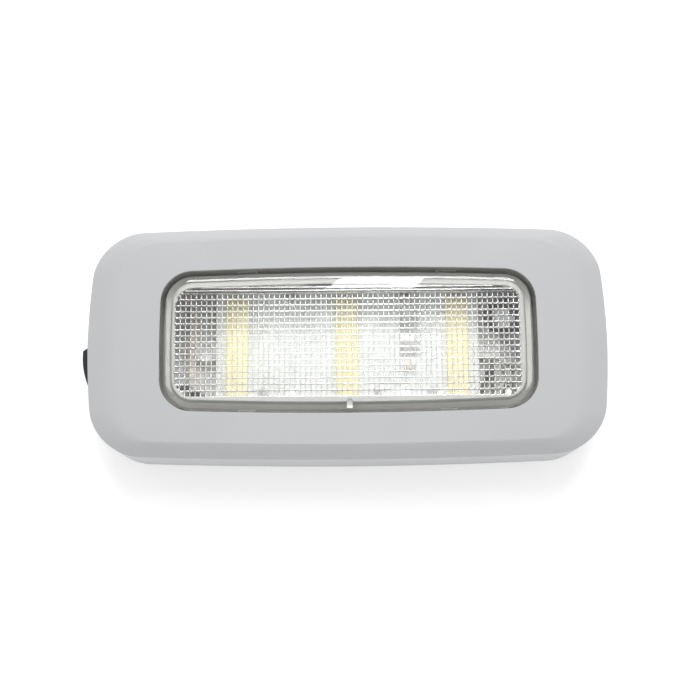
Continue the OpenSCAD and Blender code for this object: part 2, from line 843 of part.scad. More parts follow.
// Routes of the leads, from the block, the board, the end wall and the tabs of the switch
low_z = plate_t + lead_d / 2 + lead_gap;
bend = 2 * lead_d;
tab_x = -body_l / 2 + hinge_depth - tab_mid;
common_y = switch_y + tab_t / 2;
switched_y = switch_y - contact_x - tab_t / 2;
block_face = block_x - block_l / 2;
near_pole = block_y - pole_pitch / 2;
far_pole = block_y + pole_pitch / 2;
in_clamp = block_x - lead_d * 0.6;
loop_x = -board_end - 2.6 * bend;
rise_z = low_z + 0.44 * bend;

// From the outer pole along the near wall, round the left end, to the common terminal
supply_route = [[in_clamp, near_pole, pole_z], [block_face + 0.12 * bend, near_pole, pole_z],
    [block_face - 0.65 * bend, near_pole - 0.2 * bend, pole_z - 0.15 * bend],
    [block_face - 1.25 * bend, near_pole - 0.9 * bend, rise_z],
    [block_face - 1.75 * bend, near_pole - 1.85 * bend, low_z + 0.1 * bend],
    [block_face - 2.4 * bend, lead_run_y + 1.1 * bend, low_z],
    [block_face - 3.3 * bend, lead_run_y + 0.3 * bend, low_z],
    [block_face - 4.5 * bend, lead_run_y, low_z], [clip_x, lead_run_y, low_z],
    [0, lead_run_y, low_z], [-clip_x, lead_run_y, low_z],
    [-board_end + 2.2 * bend, lead_run_y, low_z],
    [-board_end + 0.3 * bend, lead_run_y + 0.1 * bend, low_z],
    [-board_end - 1.15 * bend, lead_run_y + 0.8 * bend, low_z],
    [-board_end - 2.15 * bend, lead_run_y + 1.95 * bend, low_z],
    [loop_x, lead_run_y + 3.3 * bend, low_z], [loop_x, common_y - 1.2 * bend, low_z],
    [loop_x, common_y + bend, low_z], [loop_x, common_y + 3.2 * bend, low_z],
    [loop_x, common_y + 5.2 * bend, low_z],
    [loop_x - 0.1 * bend, common_y + 6.6 * bend, low_z + 0.1 * bend],
    [loop_x - 0.4 * bend, common_y + 8 * bend, rise_z],
    [tab_x + 2.5 * bend, common_y + 9.05 * bend, switch_z - 1.2 * bend],
    [tab_x + 1.4 * bend, common_y + 9.45 * bend, switch_z - 0.5 * bend],
    [tab_x + 0.4 * bend, common_y + 9.2 * bend, switch_z - 0.1 * bend],
    [tab_x, common_y + 8.3 * bend, switch_z], [tab_x, common_y + 7 * bend, switch_z],
    [tab_x, common_y + 5 * bend, switch_z], [tab_x, common_y + 3 * bend, switch_z],
    [tab_x, common_y + 1.5 * bend, switch_z], [tab_x, common_y, switch_z]];
// From the board's left end to the switched terminal
switch_route = [[-pad_x, pad_y, board_top], [-pad_x, pad_y, board_top + 0.25 * bend],
    [-pad_x, pad_y, board_top + 0.5 * bend],
    [-pad_x - 0.12 * bend, pad_y, board_top + 0.76 * bend],
    [-pad_x - 0.42 * bend, pad_y + 0.05 * bend, board_top + 0.96 * bend],
    [-pad_x - 0.9 * bend, pad_y + 0.15 * bend, board_top + bend],
    [-pad_x - 1.45 * bend, pad_y + 0.3 * bend, board_top + 0.86 * bend],
    [-pad_x - 2.1 * bend, pad_y + 0.55 * bend, board_top + 0.55 * bend],
    [-pad_x - 2.9 * bend, pad_y + 0.95 * bend, board_top + 0.1 * bend],
    [-pad_x - 3.85 * bend, pad_y + 1.2 * bend, board_top - 0.1 * bend],
    [tab_x + 1.9 * bend, pad_y + 0.95 * bend, board_top],
    [tab_x + 1.25 * bend, pad_y + 0.15 * bend, board_top + 0.2 * bend],
    [tab_x + bend, switched_y - 2.15 * bend, switch_z - 0.15 * bend],
    [tab_x + 0.86 * bend, switched_y - 2.52 * bend, switch_z - 0.05 * bend],
    [tab_x + 0.5 * bend, switched_y - 2.7 * bend, switch_z],
    [tab_x + 0.14 * bend, switched_y - 2.52 * bend, switch_z],
    [tab_x, switched_y - 2.15 * bend, switch_z],
    [tab_x, switched_y - 1.45 * bend, switch_z], [tab_x, switched_y - 0.7 * bend, switch_z],
    [tab_x, switched_y, switch_z]];
// From the inner pole to the board's right end
return_route = [[in_clamp, far_pole, pole_z], [block_face + 0.15 * bend, far_pole, pole_z],
    [block_face - 0.45 * bend, far_pole - 0.08 * bend, pole_z + 0.35 * bend],
    [board_end + 0.65 * bend, far_pole - 0.45 * bend, pole_z + bend],
    [board_end + 0.5 * bend, far_pole - 1.1 * bend, board_top + 0.8 * bend],
    [pad_x + 0.6 * bend, pad_y + 0.6 * bend, board_top + bend],
    [pad_x + 0.3 * bend, pad_y + 0.27 * bend, board_top + 0.95 * bend],
    [pad_x + 0.08 * bend, pad_y + 0.07 * bend, board_top + 0.76 * bend],
    [pad_x, pad_y, board_top + 0.5 * bend], [pad_x, pad_y, board_top + 0.25 * bend],
    [pad_x, pad_y, board_top]];

module supply_lead() { color("firebrick") lead(supply_route); }
module switch_lead() { color("#222222") lead(switch_route); }
module return_lead() { color("#222222") lead(return_route); }

housing();
lens();
base_plate();
cable_grommet();
led_board();
led_bar_left();
led_bar_middle();
led_bar_right();
resistor_left();
resistor_middle();
resistor_right();
rectifier();
driver_chip();
capacitor();
board_screws();
terminal_block();
terminal_cages();
terminal_screws();
switch_body();
rocker();
plunger();
plunger_spring();
contact_blade();
terminal_common();
terminal_switched();
supply_lead();
switch_lead();
return_lead();
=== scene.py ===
"""Interior reading light: finer pieces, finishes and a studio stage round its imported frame."""

import math

import bmesh
import bpy
from mathutils import Matrix, Vector
from mathutils.geometry import interpolate_bezier


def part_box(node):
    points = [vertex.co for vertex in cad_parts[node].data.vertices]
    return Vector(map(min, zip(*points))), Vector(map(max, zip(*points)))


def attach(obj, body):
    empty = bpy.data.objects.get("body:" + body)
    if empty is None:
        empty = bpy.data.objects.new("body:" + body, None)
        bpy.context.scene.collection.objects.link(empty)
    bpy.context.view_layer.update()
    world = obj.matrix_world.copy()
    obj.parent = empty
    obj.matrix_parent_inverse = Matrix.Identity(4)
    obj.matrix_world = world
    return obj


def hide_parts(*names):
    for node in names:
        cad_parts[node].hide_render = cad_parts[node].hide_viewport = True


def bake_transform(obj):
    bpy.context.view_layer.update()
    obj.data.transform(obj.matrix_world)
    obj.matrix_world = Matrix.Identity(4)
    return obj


bl_info = {
    "name": "Interior Reading Light",
    "version": (1, 0, 0),
    "blender": (4, 5, 0),
    "location": "View3D > Sidebar > Reading Light",
    "description": "Builds the visible pieces and finishes of an interior reading light",
    "category": "Add Mesh",
}

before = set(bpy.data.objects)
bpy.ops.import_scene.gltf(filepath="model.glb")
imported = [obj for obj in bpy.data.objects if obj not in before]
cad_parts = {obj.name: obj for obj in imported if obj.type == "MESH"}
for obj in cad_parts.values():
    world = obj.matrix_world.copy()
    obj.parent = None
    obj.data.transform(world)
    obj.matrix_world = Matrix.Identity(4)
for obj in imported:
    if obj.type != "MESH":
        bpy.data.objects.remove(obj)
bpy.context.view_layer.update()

MM = 0.001
HOUSING_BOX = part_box("housing")
LENS_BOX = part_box("lens")
BOARD_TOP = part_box("led_board")[1].z

# Finely enough for smooth outlines: steps in a corner arc, along a side and over an edge
CORNER_STEPS = 14
SIDE_STEPS = 12
EDGE_STEPS = 12

# Vertices that lie nearer than this are one vertex, in new shapes and in the solids' triangles
SAME_SPOT = 1e-7
SAME_SPOT_IN_CAD = 2e-6

# Neighbouring faces of a solid nearer to flat than the first are merged, and edges sharper than
# the second are rounded
FLAT_WITHIN = math.radians(0.5)
ROUNDED_FROM = math.radians(28)


# Shapes that several pieces share


def arc(low, high, steps=4):
    """Pairs of sine and cosine at even steps from one angle in degrees to another."""
    angles = [math.radians(low + (high - low) * step / steps) for step in range(steps + 1)]
    return [(math.sin(angle), math.cos(angle)) for angle in angles]


def bowed_rectangle(length, width, radius, bow, end_bow):
    """Points of a rectangle with round corners whose sides bow outwards, anticlockwise."""
    corners = []
    for turn, (x_side, y_side) in enumerate(((1, 1), (-1, 1), (-1, -1), (1, -1))):
        middle = Vector((x_side * (length / 2 - radius), y_side * (width / 2 - radius)))
        corners.append([middle + radius * Vector((c, s))
                        for s, c in arc(90 * turn, 90 * (turn + 1), CORNER_STEPS)])
    points = []
    for corner, following in zip(corners, corners[1:] + corners[:1]):
        points += corner
        points += [corner[-1].lerp(following[0], i / SIDE_STEPS) for i in range(1, SIDE_STEPS)]
    for p in points:
        x_in = end_bow * (2 * p.y / width) ** 2
        y_in = bow * (2 * p.x / length) ** 2
        p.x -= which_side(p.x) * x_in
        p.y -= which_side(p.y) * y_in
    return points


def which_side(value):
    """-1 or 1 for the sides of an axis, 0 on the axis."""
    return 0.0 if abs(value) < 1e-9 else math.copysign(1.0, value)


def lift(ring, z):
    """A flat ring at a height."""
    return [Vector((p.x, p.y, z)) for p in ring]


def loft(bm, rings, close=False, finishes=None):
    """Skins rings of equally many points; finishes gives the slot of the skin up to each ring."""
    spoke = bm.verts.layers.int.get("spoke") or bm.verts.layers.int.new("spoke")
    first = bmesh.ops.create_circle(bm, segments=len(rings[0]), radius=1.0)["verts"]
    for i, v in enumerate(first):
        v[spoke] = i
        v.co = rings[0][i]
    edges = list({e for v in first for e in v.link_edges})
    start = edges
    for number, ring in enumerate(rings[1:], 1):
        grown = bmesh.ops.extrude_edge_only(bm, edges=edges)["geom"]
        new = {g for g in grown if isinstance(g, bmesh.types.BMVert)}
        for face in (g for g in grown if isinstance(g, bmesh.types.BMFace)):
            face.material_index = finishes[number] if finishes else 0
        for v in new:
            v.co = ring[v[spoke]]
        edges = [g for g in grown if isinstance(g, bmesh.types.BMEdge) and set(g.verts) <= new]
    if close:
        bmesh.ops.bridge_loops(bm, edges=start + edges)
    return start, edges


def box_mesh(bm, low, high, round_off=0.0):
    """A box between two corners, with its edges rounded."""
    made = bmesh.ops.create_cube(bm, size=1.0)["verts"]
    bmesh.ops.scale(bm, vec=high - low, verts=made)
    bmesh.ops.translate(bm, vec=(low + high) / 2, verts=made)
    if round_off:
        edges = list({e for v in made for e in v.link_edges})
        bmesh.ops.bevel(bm, geom=edges, offset=round_off, segments=2, profile=0.5,
                        affect="EDGES", material=-1, clamp_overlap=True)


def slab_mesh(bm, outline, low, high):
    """A solid between two places along x with one outline of (y, z) points all along."""
    made = bmesh.ops.create_circle(bm, cap_ends=True, segments=len(outline), radius=1.0)["verts"]
    for v, (y, z) in zip(made, outline):
        v.co = (low, y, z)
    grown = bmesh.ops.extrude_face_region(bm, geom=list(made[0].link_faces))["geom"]
    bmesh.ops.translate(bm, vec=(high - low, 0, 0),
                        verts=[g for g in grown if isinstance(g, bmesh.types.BMVert)])


def on_both_sides(outline):
    """An outline of (y, z) points and its mirror image across y."""
    return outline, [(-y, z) for y, z in outline]


def new_piece(name, bm, finish, body, smooth=35.0):
    """Turns a bmesh into an object at the origin, smooth up to an angle, riding on a body."""
    if not bm.faces:
        raise RuntimeError(f"{name} has no faces")
    bmesh.ops.remove_doubles(bm, verts=bm.verts, dist=SAME_SPOT)
    bmesh.ops.recalc_face_normals(bm, faces=bm.faces)
    mesh = bpy.data.meshes.new(name)
    bm.to_mesh(mesh)
    bm.free()
    piece = bpy.data.objects.new(name, mesh)
    bpy.context.scene.collection.objects.link(piece)
    mesh.materials.append(finish)
    shade(mesh, smooth)
    if body:
        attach(piece, body)
    return piece


def shade(mesh, smooth):
    """Shades a mesh smooth, except at edges sharper than an angle in degrees."""
    mesh.shade_smooth()
    mesh.set_sharp_from_angle(angle=math.radians(smooth))


def even_shading(piece, smooth):
    """Keeps flat faces flat where they run into small rounded edges."""
    shade(piece.data, smooth)
    normals = piece.modifiers.new("even shading", "WEIGHTED_NORMAL")
    normals.keep_sharp = True


def carve(piece, tools, operation="DIFFERENCE"):
    """Cuts the shapes of the tools out of a piece, or adds them, and removes the tools."""
    before = len(piece.data.vertices)
    for tool in tools:
        cut = piece.modifiers.new("cut", "BOOLEAN")
        cut.operation = operation
        cut.material_mode = "INDEX"
        cut.solver = "MANIFOLD"
        cut.object = tool
    graph = bpy.context.evaluated_depsgraph_get()
    carved = bpy.data.meshes.new_from_object(piece.evaluated_get(graph))
    piece.modifiers.clear()
    if len(carved.vertices) <= before:
        raise RuntimeError(f"{piece.name} wasn't cut")
    piece.data = carved
    for tool in tools:
        bpy.data.objects.remove(tool)


def refined(name, node, finish, body, round_off=0.0, smooth=32.0, swell=0.0):
    """A copy of a CAD node with merged faces and slightly rounded edges that stands for it.

    With swell it is also moved outwards by that much, before a subdivision draws it in again.
    """
    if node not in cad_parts:
        raise RuntimeError(f"the frame has no node {node}")
    bm = bmesh.new()
    bm.from_mesh(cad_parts[node].data)
    bmesh.ops.remove_doubles(bm, verts=bm.verts, dist=SAME_SPOT_IN_CAD)
    bmesh.ops.dissolve_degenerate(bm, dist=SAME_SPOT_IN_CAD / 2, edges=bm.edges)
    bmesh.ops.dissolve_limit(bm, angle_limit=FLAT_WITHIN, verts=bm.verts, edges=bm.edges)
    if round_off:
        sharp = [e for e in bm.edges if e.is_manifold and e.calc_face_angle() > ROUNDED_FROM]
        bmesh.ops.bevel(bm, geom=sharp, offset=round_off, segments=2, profile=0.5,
                        affect="EDGES", material=-1, clamp_overlap=True)
    if swell:
        bm.normal_update()
        outward = [v.normal.copy() for v in bm.verts]
        for v, normal in zip(bm.verts, outward):
            v.co += normal * swell
    piece = new_piece(name, bm, finish, body, smooth)
    if swell:
        rounder = piece.modifiers.new("rounder", "SUBSURF")
        rounder.levels = rounder.render_levels = 1
    return stands_for(piece, node)


def stands_for(piece, node):
    """Hides a CAD node, whose place a piece takes, and returns the piece."""
    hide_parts(node)
    return piece


def second_finish(piece, finish, wanted):
    """Gives a second finish to the faces whose middles pass a test."""
    piece.data.materials.append(finish)
    for face in piece.data.polygons:
        if wanted(face.center):
            face.material_index = 1


# How far the body of a chip stands back from its plated ends, and the rounding of both
CHIP_STEP = 0.03 * MM
CHIP_ROUND = 0.05 * MM
CHIP_END_ROUND = 0.06 * MM


def capped_chip(name, node, finish, ends, cap):
    """A chip between two plated ends as long as cap that stands for a plain CAD block."""
    low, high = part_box(node)
    bm = bmesh.new()
    inset = Vector((cap / 2, CHIP_STEP, CHIP_STEP))
    box_mesh(bm, low + inset, high - inset, CHIP_ROUND)
    body_faces = set(bm.faces)
    box_mesh(bm, low, Vector((low.x + cap, high.y, high.z)), CHIP_END_ROUND)
    box_mesh(bm, Vector((high.x - cap, low.y, low.z)), high, CHIP_END_ROUND)
    for face in set(bm.faces) - body_faces:
        face.material_index = 1
    piece = new_piece(name, bm, finish, "lamp")
    piece.data.materials.append(ends)
    return stands_for(piece, node)


# Finishes

# Colours of settled dust, and of the painted shade down in the joint round the lens
DUST = (0.5, 0.48, 0.45)
JOINT_SHADE_TONE = (0.27, 0.268, 0.255)

# How far beyond the walls of the window the painted shade reaches
JOINT_SHADE_REACH = 0.2 * MM


def node_group(name, inputs, outputs):
    """An empty shader node group with named sockets; returns it with its two end nodes."""
    group = bpy.data.node_groups.new(name, "ShaderNodeTree")
    for label, kind, value in inputs:
        socket = group.interface.new_socket(name=label, in_out="INPUT", socket_type=kind)
        socket.default_value = value
    for label, kind in outputs:
        group.interface.new_socket(name=label, in_out="OUTPUT", socket_type=kind)
    return group, group.nodes.new("NodeGroupInput"), group.nodes.new("NodeGroupOutput")


def add(nodes, kind, **settings):
    """A new shader node with some of its properties set."""
    node = nodes.new(kind)
    for key, value in settings.items():
        setattr(node, key, value)
    return node


def moulded_skin():
    """Node group: the fine grain and slow unevenness of a moulded surface."""
    name = "Moulded skin"
    if name in bpy.data.node_groups:
        return bpy.data.node_groups[name]
    group, start, end = node_group(
        name,
        [("Grain Size", "NodeSocketFloat", 2200.0), ("Cloud Size", "NodeSocketFloat", 90.0)],
        [("Height", "NodeSocketFloat"), ("Cloud", "NodeSocketFloat")])
    nodes, links = group.nodes, group.links
    place = nodes.new("ShaderNodeTexCoord")
    grain = nodes.new("ShaderNodeTexNoise")
    grain.inputs["Detail"].default_value = 2.0
    cloud = nodes.new("ShaderNodeTexNoise")
    cloud.inputs["Detail"].default_value = 3.0
    links.new(place.outputs["Object"], grain.inputs["Vector"])
    links.new(place.outputs["Object"], cloud.inputs["Vector"])
    links.new(start.outputs["Grain Size"], grain.inputs["Scale"])
    links.new(start.outputs["Cloud Size"], cloud.inputs["Scale"])
    links.new(grain.outputs["Fac"], end.inputs["Height"])
    links.new(cloud.outputs["Fac"], end.inputs["Cloud"])
    return group


def settled_dust():
    """Node group: a mask of fine dust, mostly on surfaces that face up."""
    name = "Settled dust"
    if name in bpy.data.node_groups:
        return bpy.data.node_groups[name]
    group, start, end = node_group(
        name, [("Amount", "NodeSocketFloat", 0.2)], [("Mask", "NodeSocketFloat")])
    nodes, links = group.nodes, group.links
    place = nodes.new("ShaderNodeTexCoord")
    speck = nodes.new("ShaderNodeTexNoise")
    speck.inputs["Scale"].default_value = 700.0
    speck.inputs["Detail"].default_value = 5.0
    speck.inputs["Roughness"].default_value = 0.7
    facing = nodes.new("ShaderNodeSeparateXYZ")
    spread = nodes.new("ShaderNodeMapRange")
    spread.inputs["From Min"].default_value = 0.52
    spread.inputs["From Max"].default_value = 0.75
    up = add(nodes, "ShaderNodeMath", operation="MULTIPLY", use_clamp=True)
    amount = add(nodes, "ShaderNodeMath", operation="MULTIPLY", use_clamp=True)
    links.new(place.outputs["Object"], speck.inputs["Vector"])
    links.new(place.outputs["Normal"], facing.inputs["Vector"])
    links.new(speck.outputs["Fac"], spread.inputs["Value"])
    links.new(spread.outputs["Result"], up.inputs[0])
    links.new(facing.outputs["Z"], up.inputs[1])
    links.new(up.outputs[0], amount.inputs[0])
    links.new(start.outputs["Amount"], amount.inputs[1])
    links.new(amount.outputs[0], end.inputs["Mask"])
    return group


def joint_shade_mask():
    """Node group: a mask of painted shade down in the joint between housing and lens, fuller deeper
    down.
    """
    group, start, end = node_group(
        "Joint grime",
        [("Half Length", "NodeSocketFloat", 0.05), ("Half Width", "NodeSocketFloat", 0.02),
         ("Top", "NodeSocketFloat", 0.02)],
        [("Mask", "NodeSocketFloat")])
    nodes, links = group.nodes, group.links
    place, axes = nodes.new("ShaderNodeTexCoord"), nodes.new("ShaderNodeSeparateXYZ")
    links.new(place.outputs["Object"], axes.inputs["Vector"])
    below = add(nodes, "ShaderNodeMath", operation="SUBTRACT")
    links.new(start.outputs["Top"], below.inputs[0])
    links.new(axes.outputs["Z"], below.inputs[1])
    deep = nodes.new("ShaderNodeMapRange")
    deep.inputs["From Min"].default_value = 0.1 * MM
    deep.inputs["From Max"].default_value = 1.2 * MM
    links.new(below.outputs[0], deep.inputs["Value"])
    mask = deep.outputs["Result"]
    for axis, label in (("X", "Half Length"), ("Y", "Half Width")):
        size = add(nodes, "ShaderNodeMath", operation="ABSOLUTE")
        inside = add(nodes, "ShaderNodeMath", operation="LESS_THAN")
        product = add(nodes, "ShaderNodeMath", operation="MULTIPLY")
        links.new(axes.outputs[axis], size.inputs[0])
        links.new(size.outputs[0], inside.inputs[0])
        links.new(start.outputs[label], inside.inputs[1])
        links.new(mask, product.inputs[0])
        links.new(inside.outputs[0], product.inputs[1])
        mask = product.outputs[0]
    links.new(mask, end.inputs["Mask"])
    return group


def paint_joint_shade(material, lens, top):
    """Paints shade into a housing finish: darkens it down in the joint round the lens."""
    nodes, links = material.node_tree.nodes, material.node_tree.links
    tone = nodes["Principled BSDF"].inputs["Base Color"]
    painted_shade = use_group(nodes, joint_shade_mask(), Top=top,
                      Half_Length=lens.window_length / 2 + lens.aside + JOINT_SHADE_REACH,
                      Half_Width=lens.window_width / 2 + JOINT_SHADE_REACH)
    links.new(covered(nodes, links, tone.links[0].from_socket, painted_shade.outputs["Mask"], JOINT_SHADE_TONE), tone)


def covered(nodes, links, tone, mask, film):
    """A tone that a mask covers with the colour of a film."""
    mix = add(nodes, "ShaderNodeMix", data_type="RGBA")
    mix.inputs["B"].default_value = (*film, 1.0)
    links.new(mask, mix.inputs["Factor"])
    links.new(tone, mix.inputs["A"])
    return mix.outputs["Result"]


def use_group(nodes, group, **values):
    """Places a node group in a material, with values for its inputs."""
    node = nodes.new("ShaderNodeGroup")
    node.node_tree = group
    for label, value in values.items():
        node.inputs[label.replace("_", " ")].default_value = value
    return node


def blank(name):
    """A new material with its nodes, links, shader and output."""
    material = bpy.data.materials.new(name)
    material.use_nodes = True
    nodes, links = material.node_tree.nodes, material.node_tree.links
    shader = nodes.get("Principled BSDF")
    return material, nodes, links, shader, nodes.get("Material Output")


def blended(nodes, links, mask, low, high):
    """A colour between two colours by a mask."""
    mix = add(nodes, "ShaderNodeMix", data_type="RGBA")
    mix.inputs["A"].default_value = (*low, 1.0)
    mix.inputs["B"].default_value = (*high, 1.0)
    links.new(mask, mix.inputs["Factor"])
    return mix.outputs["Result"]


def ranged(nodes, links, value, low, high):
    """A value stretched from 0.3 to 0.7 of a noise to a lowest and a highest number."""
    span = nodes.new("ShaderNodeMapRange")
    span.inputs["From Min"].default_value = 0.3
    span.inputs["From Max"].default_value = 0.7
    span.inputs["To Min"].default_value = low
    span.inputs["To Max"].default_value = high
    links.new(value, span.inputs["Value"])
    return span.outputs["Result"]


def bumped(nodes, links, shader, height, depth):
    """Makes a shader's surface uneven by a height of some depth."""
    bump = nodes.new("ShaderNodeBump")
    bump.inputs["Strength"].default_value = 1.0
    bump.inputs["Distance"].default_value = depth
    links.new(height, bump.inputs["Height"])
    links.new(bump.outputs["Normal"], shader.inputs["Normal"])


def shades(colour, spread):
    """A darker and a lighter shade of a colour."""
    return [c * (1 - spread) for c in colour], [min(c * (1 + spread), 1.0) for c in colour]


def plastic(name, colour, rough=0.4, spread=0.04, grain=2200.0, depth=0.00002, dust=0.0,
            shine=0.5, cloud=90.0):
    """Moulded plastic, rubber or paint: slow tone changes, fine grain and a little dust."""
    if name in bpy.data.materials:
        return bpy.data.materials[name]
    material, nodes, links, shader, _ = blank(name)
    skin = use_group(nodes, moulded_skin(), Grain_Size=grain, Cloud_Size=cloud)
    low, high = shades(colour, spread)
    tone = blended(nodes, links, skin.outputs["Cloud"], low, high)
    if dust:
        film = use_group(nodes, settled_dust(), Amount=dust)
        tone = covered(nodes, links, tone, film.outputs["Mask"], DUST)
    links.new(tone, shader.inputs["Base Color"])
    links.new(ranged(nodes, links, skin.outputs["Cloud"], rough - 0.04, rough + 0.06),
              shader.inputs["Roughness"])
    shader.inputs["Specular IOR Level"].default_value = shine
    bumped(nodes, links, shader, skin.outputs["Height"], depth)
    return material


def metal(name, colour, rough=0.3, grain=3000.0, depth=0.000004):
    """Plated or bare metal with fine drawing marks and slightly uneven tone."""
    if name in bpy.data.materials:
        return bpy.data.materials[name]
    material, nodes, links, shader, _ = blank(name)
    skin = use_group(nodes, moulded_skin(), Grain_Size=grain, Cloud_Size=400.0)
    low, high = shades(colour, 0.08)
    links.new(blended(nodes, links, skin.outputs["Cloud"], low, high), shader.inputs["Base Color"])
    links.new(ranged(nodes, links, skin.outputs["Cloud"], rough - 0.08, rough + 0.12),
              shader.inputs["Roughness"])
    shader.inputs["Metallic"].default_value = 1.0
    bumped(nodes, links, shader, skin.outputs["Height"], depth)
    return material


def zinc_plated_steel():
    """Steel of the screws and the spring."""
    return metal("Zinc plated steel", (0.6, 0.6, 0.58), rough=0.28)


def clamp_brass():
    """Brass of the clamps and of the switch's tabs."""
    return metal("Clamp brass", (0.7, 0.5, 0.22), rough=0.3)


def clear_plastic(name, tint, rough=0.0):
    """Clear moulded plastic that lets lamp light through, with faint flow marks."""
    material, nodes, links, shader, output = blank(name)
    skin = use_group(nodes, moulded_skin(), Grain_Size=500.0, Cloud_Size=120.0)
    low, high = shades(tint, 0.01)
    links.new(blended(nodes, links, skin.outputs["Cloud"], low, high), shader.inputs["Base Color"])
    links.new(ranged(nodes, links, skin.outputs["Cloud"], rough, rough + 0.02),
              shader.inputs["Roughness"])
    shader.inputs["Metallic"].default_value = 0.0
    shader.inputs["Transmission Weight"].default_value = 1.0
    shader.inputs["IOR"].default_value = 1.49
    through = nodes.new("ShaderNodeBsdfTransparent")
    path = nodes.new("ShaderNodeLightPath")
    mix = nodes.new("ShaderNodeMixShader")
    links.new(path.outputs["Is Shadow Ray"], mix.inputs["Fac"])
    links.new(shader.outputs["BSDF"], mix.inputs[1])
    links.new(through.outputs["BSDF"], mix.inputs[2])
    links.new(mix.outputs["Shader"], output.inputs["Surface"])
    return material


# Settings


def length(label, text, value, most=1.0):
    """A setting that holds a length in metres."""
    return bpy.props.FloatProperty(name=label, description=text, default=value, min=0.0,
                                   max=most, subtype="DISTANCE", unit="LENGTH", precision=5)


def colour(label, text, value):
    """A setting that holds a colour."""
    return bpy.props.FloatVectorProperty(name=label, description=text, default=value, min=0.0,
                                         max=1.0, size=3, subtype="COLOR")


class HousingSettings(bpy.types.PropertyGroup):
    """Sizes and colour of the moulded housing."""
    length: length("Length", "Length over the middle of the ends",
                   HOUSING_BOX[1].x - HOUSING_BOX[0].x)
    width: length("Width", "Width over the middle of the long walls",
                  HOUSING_BOX[1].y - HOUSING_BOX[0].y)
    height: length("Height", "Height of the front face", HOUSING_BOX[1].z)
    corner: length("Corner radius", "Radius of the outline's corners", 12.6 * MM)
    long_bow: length("Long bow", "How far the long walls bow outwards", 1.7 * MM)
    end_bow: length("End bow", "How far the end walls bow outwards", 2.6 * MM)
    edge_drop: length("Edge height", "Height of the sloping edge", 3.6 * MM)
    edge_width: length("Edge width", "Width of the sloping edge along the long walls", 3.9 * MM)
    end_edge_width: length("End edge width", "Width of the softer edge at the ends", 8.5 * MM)
    colour: colour("Colour", "Colour of the plastic", (0.452, 0.457, 0.467))


class LensSettings(bpy.types.PropertyGroup):
    """Sizes and tint of the window and the clear lens."""
    window_length: length("Window length", "Length of the window", 104.7 * MM)
    window_width: length("Window width", "Width of the window", 41 * MM)
    window_corner: length("Window radius", "Radius of the window's corners", 8.2 * MM)
    aside: length("Window offset", "How far the window sits away from the switch", 0.3 * MM)
    gap: length("Gap", "Open joint round the lens", 1.1 * MM)
    wall: length("Wall", "Wall of the lens skirt", 1.9 * MM)
    roof: length("Roof", "Thickness of the lens above its prisms", 2.3 * MM)
    columns: bpy.props.IntProperty(name="Columns", description="Prisms along the length",
                                   default=66, min=1, max=200)
    rows: bpy.props.IntProperty(name="Rows", description="Prisms across the width",
                                default=17, min=1, max=100)
    pitch_x: length("Column pitch", "Pitch of the prisms along the length", 1.45 * MM)
    pitch_y: length("Row pitch", "Pitch of the prisms across the width", 1.71 * MM)
    shift: length("Prism shift", "How far the prisms sit towards the near side", 1.1 * MM)
    ribs: bpy.props.IntProperty(name="Ribs", description="Long ribs beyond the far prisms",
                                default=3, min=0, max=10)
    rib_pitch: length("Rib pitch", "Pitch of the long ribs", 0.85 * MM)
    depth: length("Prism depth", "Height of a prism", 0.26 * MM)
    rim: length("Prism rim", "Width of the steep border of a prism", 0.25 * MM)
    dome: length("Prism dome", "Height of the dome on a prism's flat", 0.06 * MM)
    tint: colour("Tint", "Colour that the plastic gives to light", (0.985, 0.99, 0.985))
    frost: colour("Frost", "Colour of the frosted inside of the skirt", (0.92, 0.92, 0.9))
    border: colour("Border", "Colour of the satin border round the prisms", (0.6, 0.598, 0.58))


class BoardSettings(bpy.types.PropertyGroup):
    """Colours of the light board and its bars."""
    mask: colour("Solder mask", "Colour of the board's lacquer", (0.72, 0.73, 0.72))
    phosphor: colour("Phosphor", "Colour of the light bars", (0.82, 0.74, 0.42))
    carrier: colour("Carrier", "Colour of the bars' carrier", (0.84, 0.8, 0.58))


class SwitchSettings(bpy.types.PropertyGroup):
    """Colour of the rocker switch."""
    colour: colour("Colour", "Colour of the rocker and its frame", (0.012, 0.012, 0.013))


class StageSettings(bpy.types.PropertyGroup):
    """Floor, light and camera of the studio stage."""
    floor: colour("Floor", "Colour of the floor", (0.92, 0.92, 0.92))
    fill: bpy.props.FloatProperty(name="Fill", default=0.8, min=0.0, max=10.0,
                                  description="Strength of the even light from all round")
    key: bpy.props.FloatProperty(name="Key", description="Power of the main softbox",
                                 default=7.8, min=0.0, max=1000.0, unit="POWER")
    distance: length("Distance", "Distance of the camera from the object", 360 * MM,
                     most=10.0)
    tilt: bpy.props.FloatProperty(name="Tilt", description="Height angle of the camera",
                                  default=math.radians(79), subtype="ANGLE", unit="ROTATION")
    roll: bpy.props.FloatProperty(name="Roll", description="Turn of the camera about its view",
                                  default=math.radians(-0.51), subtype="ANGLE", unit="ROTATION")


class LampSettings(bpy.types.PropertyGroup):
    """All settings of the reading light."""
    housing: bpy.props.PointerProperty(type=HousingSettings)
    lens: bpy.props.PointerProperty(type=LensSettings)
    board: bpy.props.PointerProperty(type=BoardSettings)
    switch: bpy.props.PointerProperty(type=SwitchSettings)
    stage: bpy.props.PointerProperty(type=StageSettings)


# Housing and lens

# Walls of the moulded housing: its sides, its face, and the rebate that takes the base plate
WALL = 2 * MM
FACE = 2.2 * MM
PLATE = 2 * MM
REBATE = 1.1 * MM

# Rounding of the foot, and the least radius of the corners of the cavity
FOOT_ROUND = 0.4 * MM
LEAST_CORNER = 2 * MM

# Powers that curve the sloping edge at the ends and along the sides: 1 is a flat slope
END_CURVE = 0.55
SIDE_CURVE = 0.85

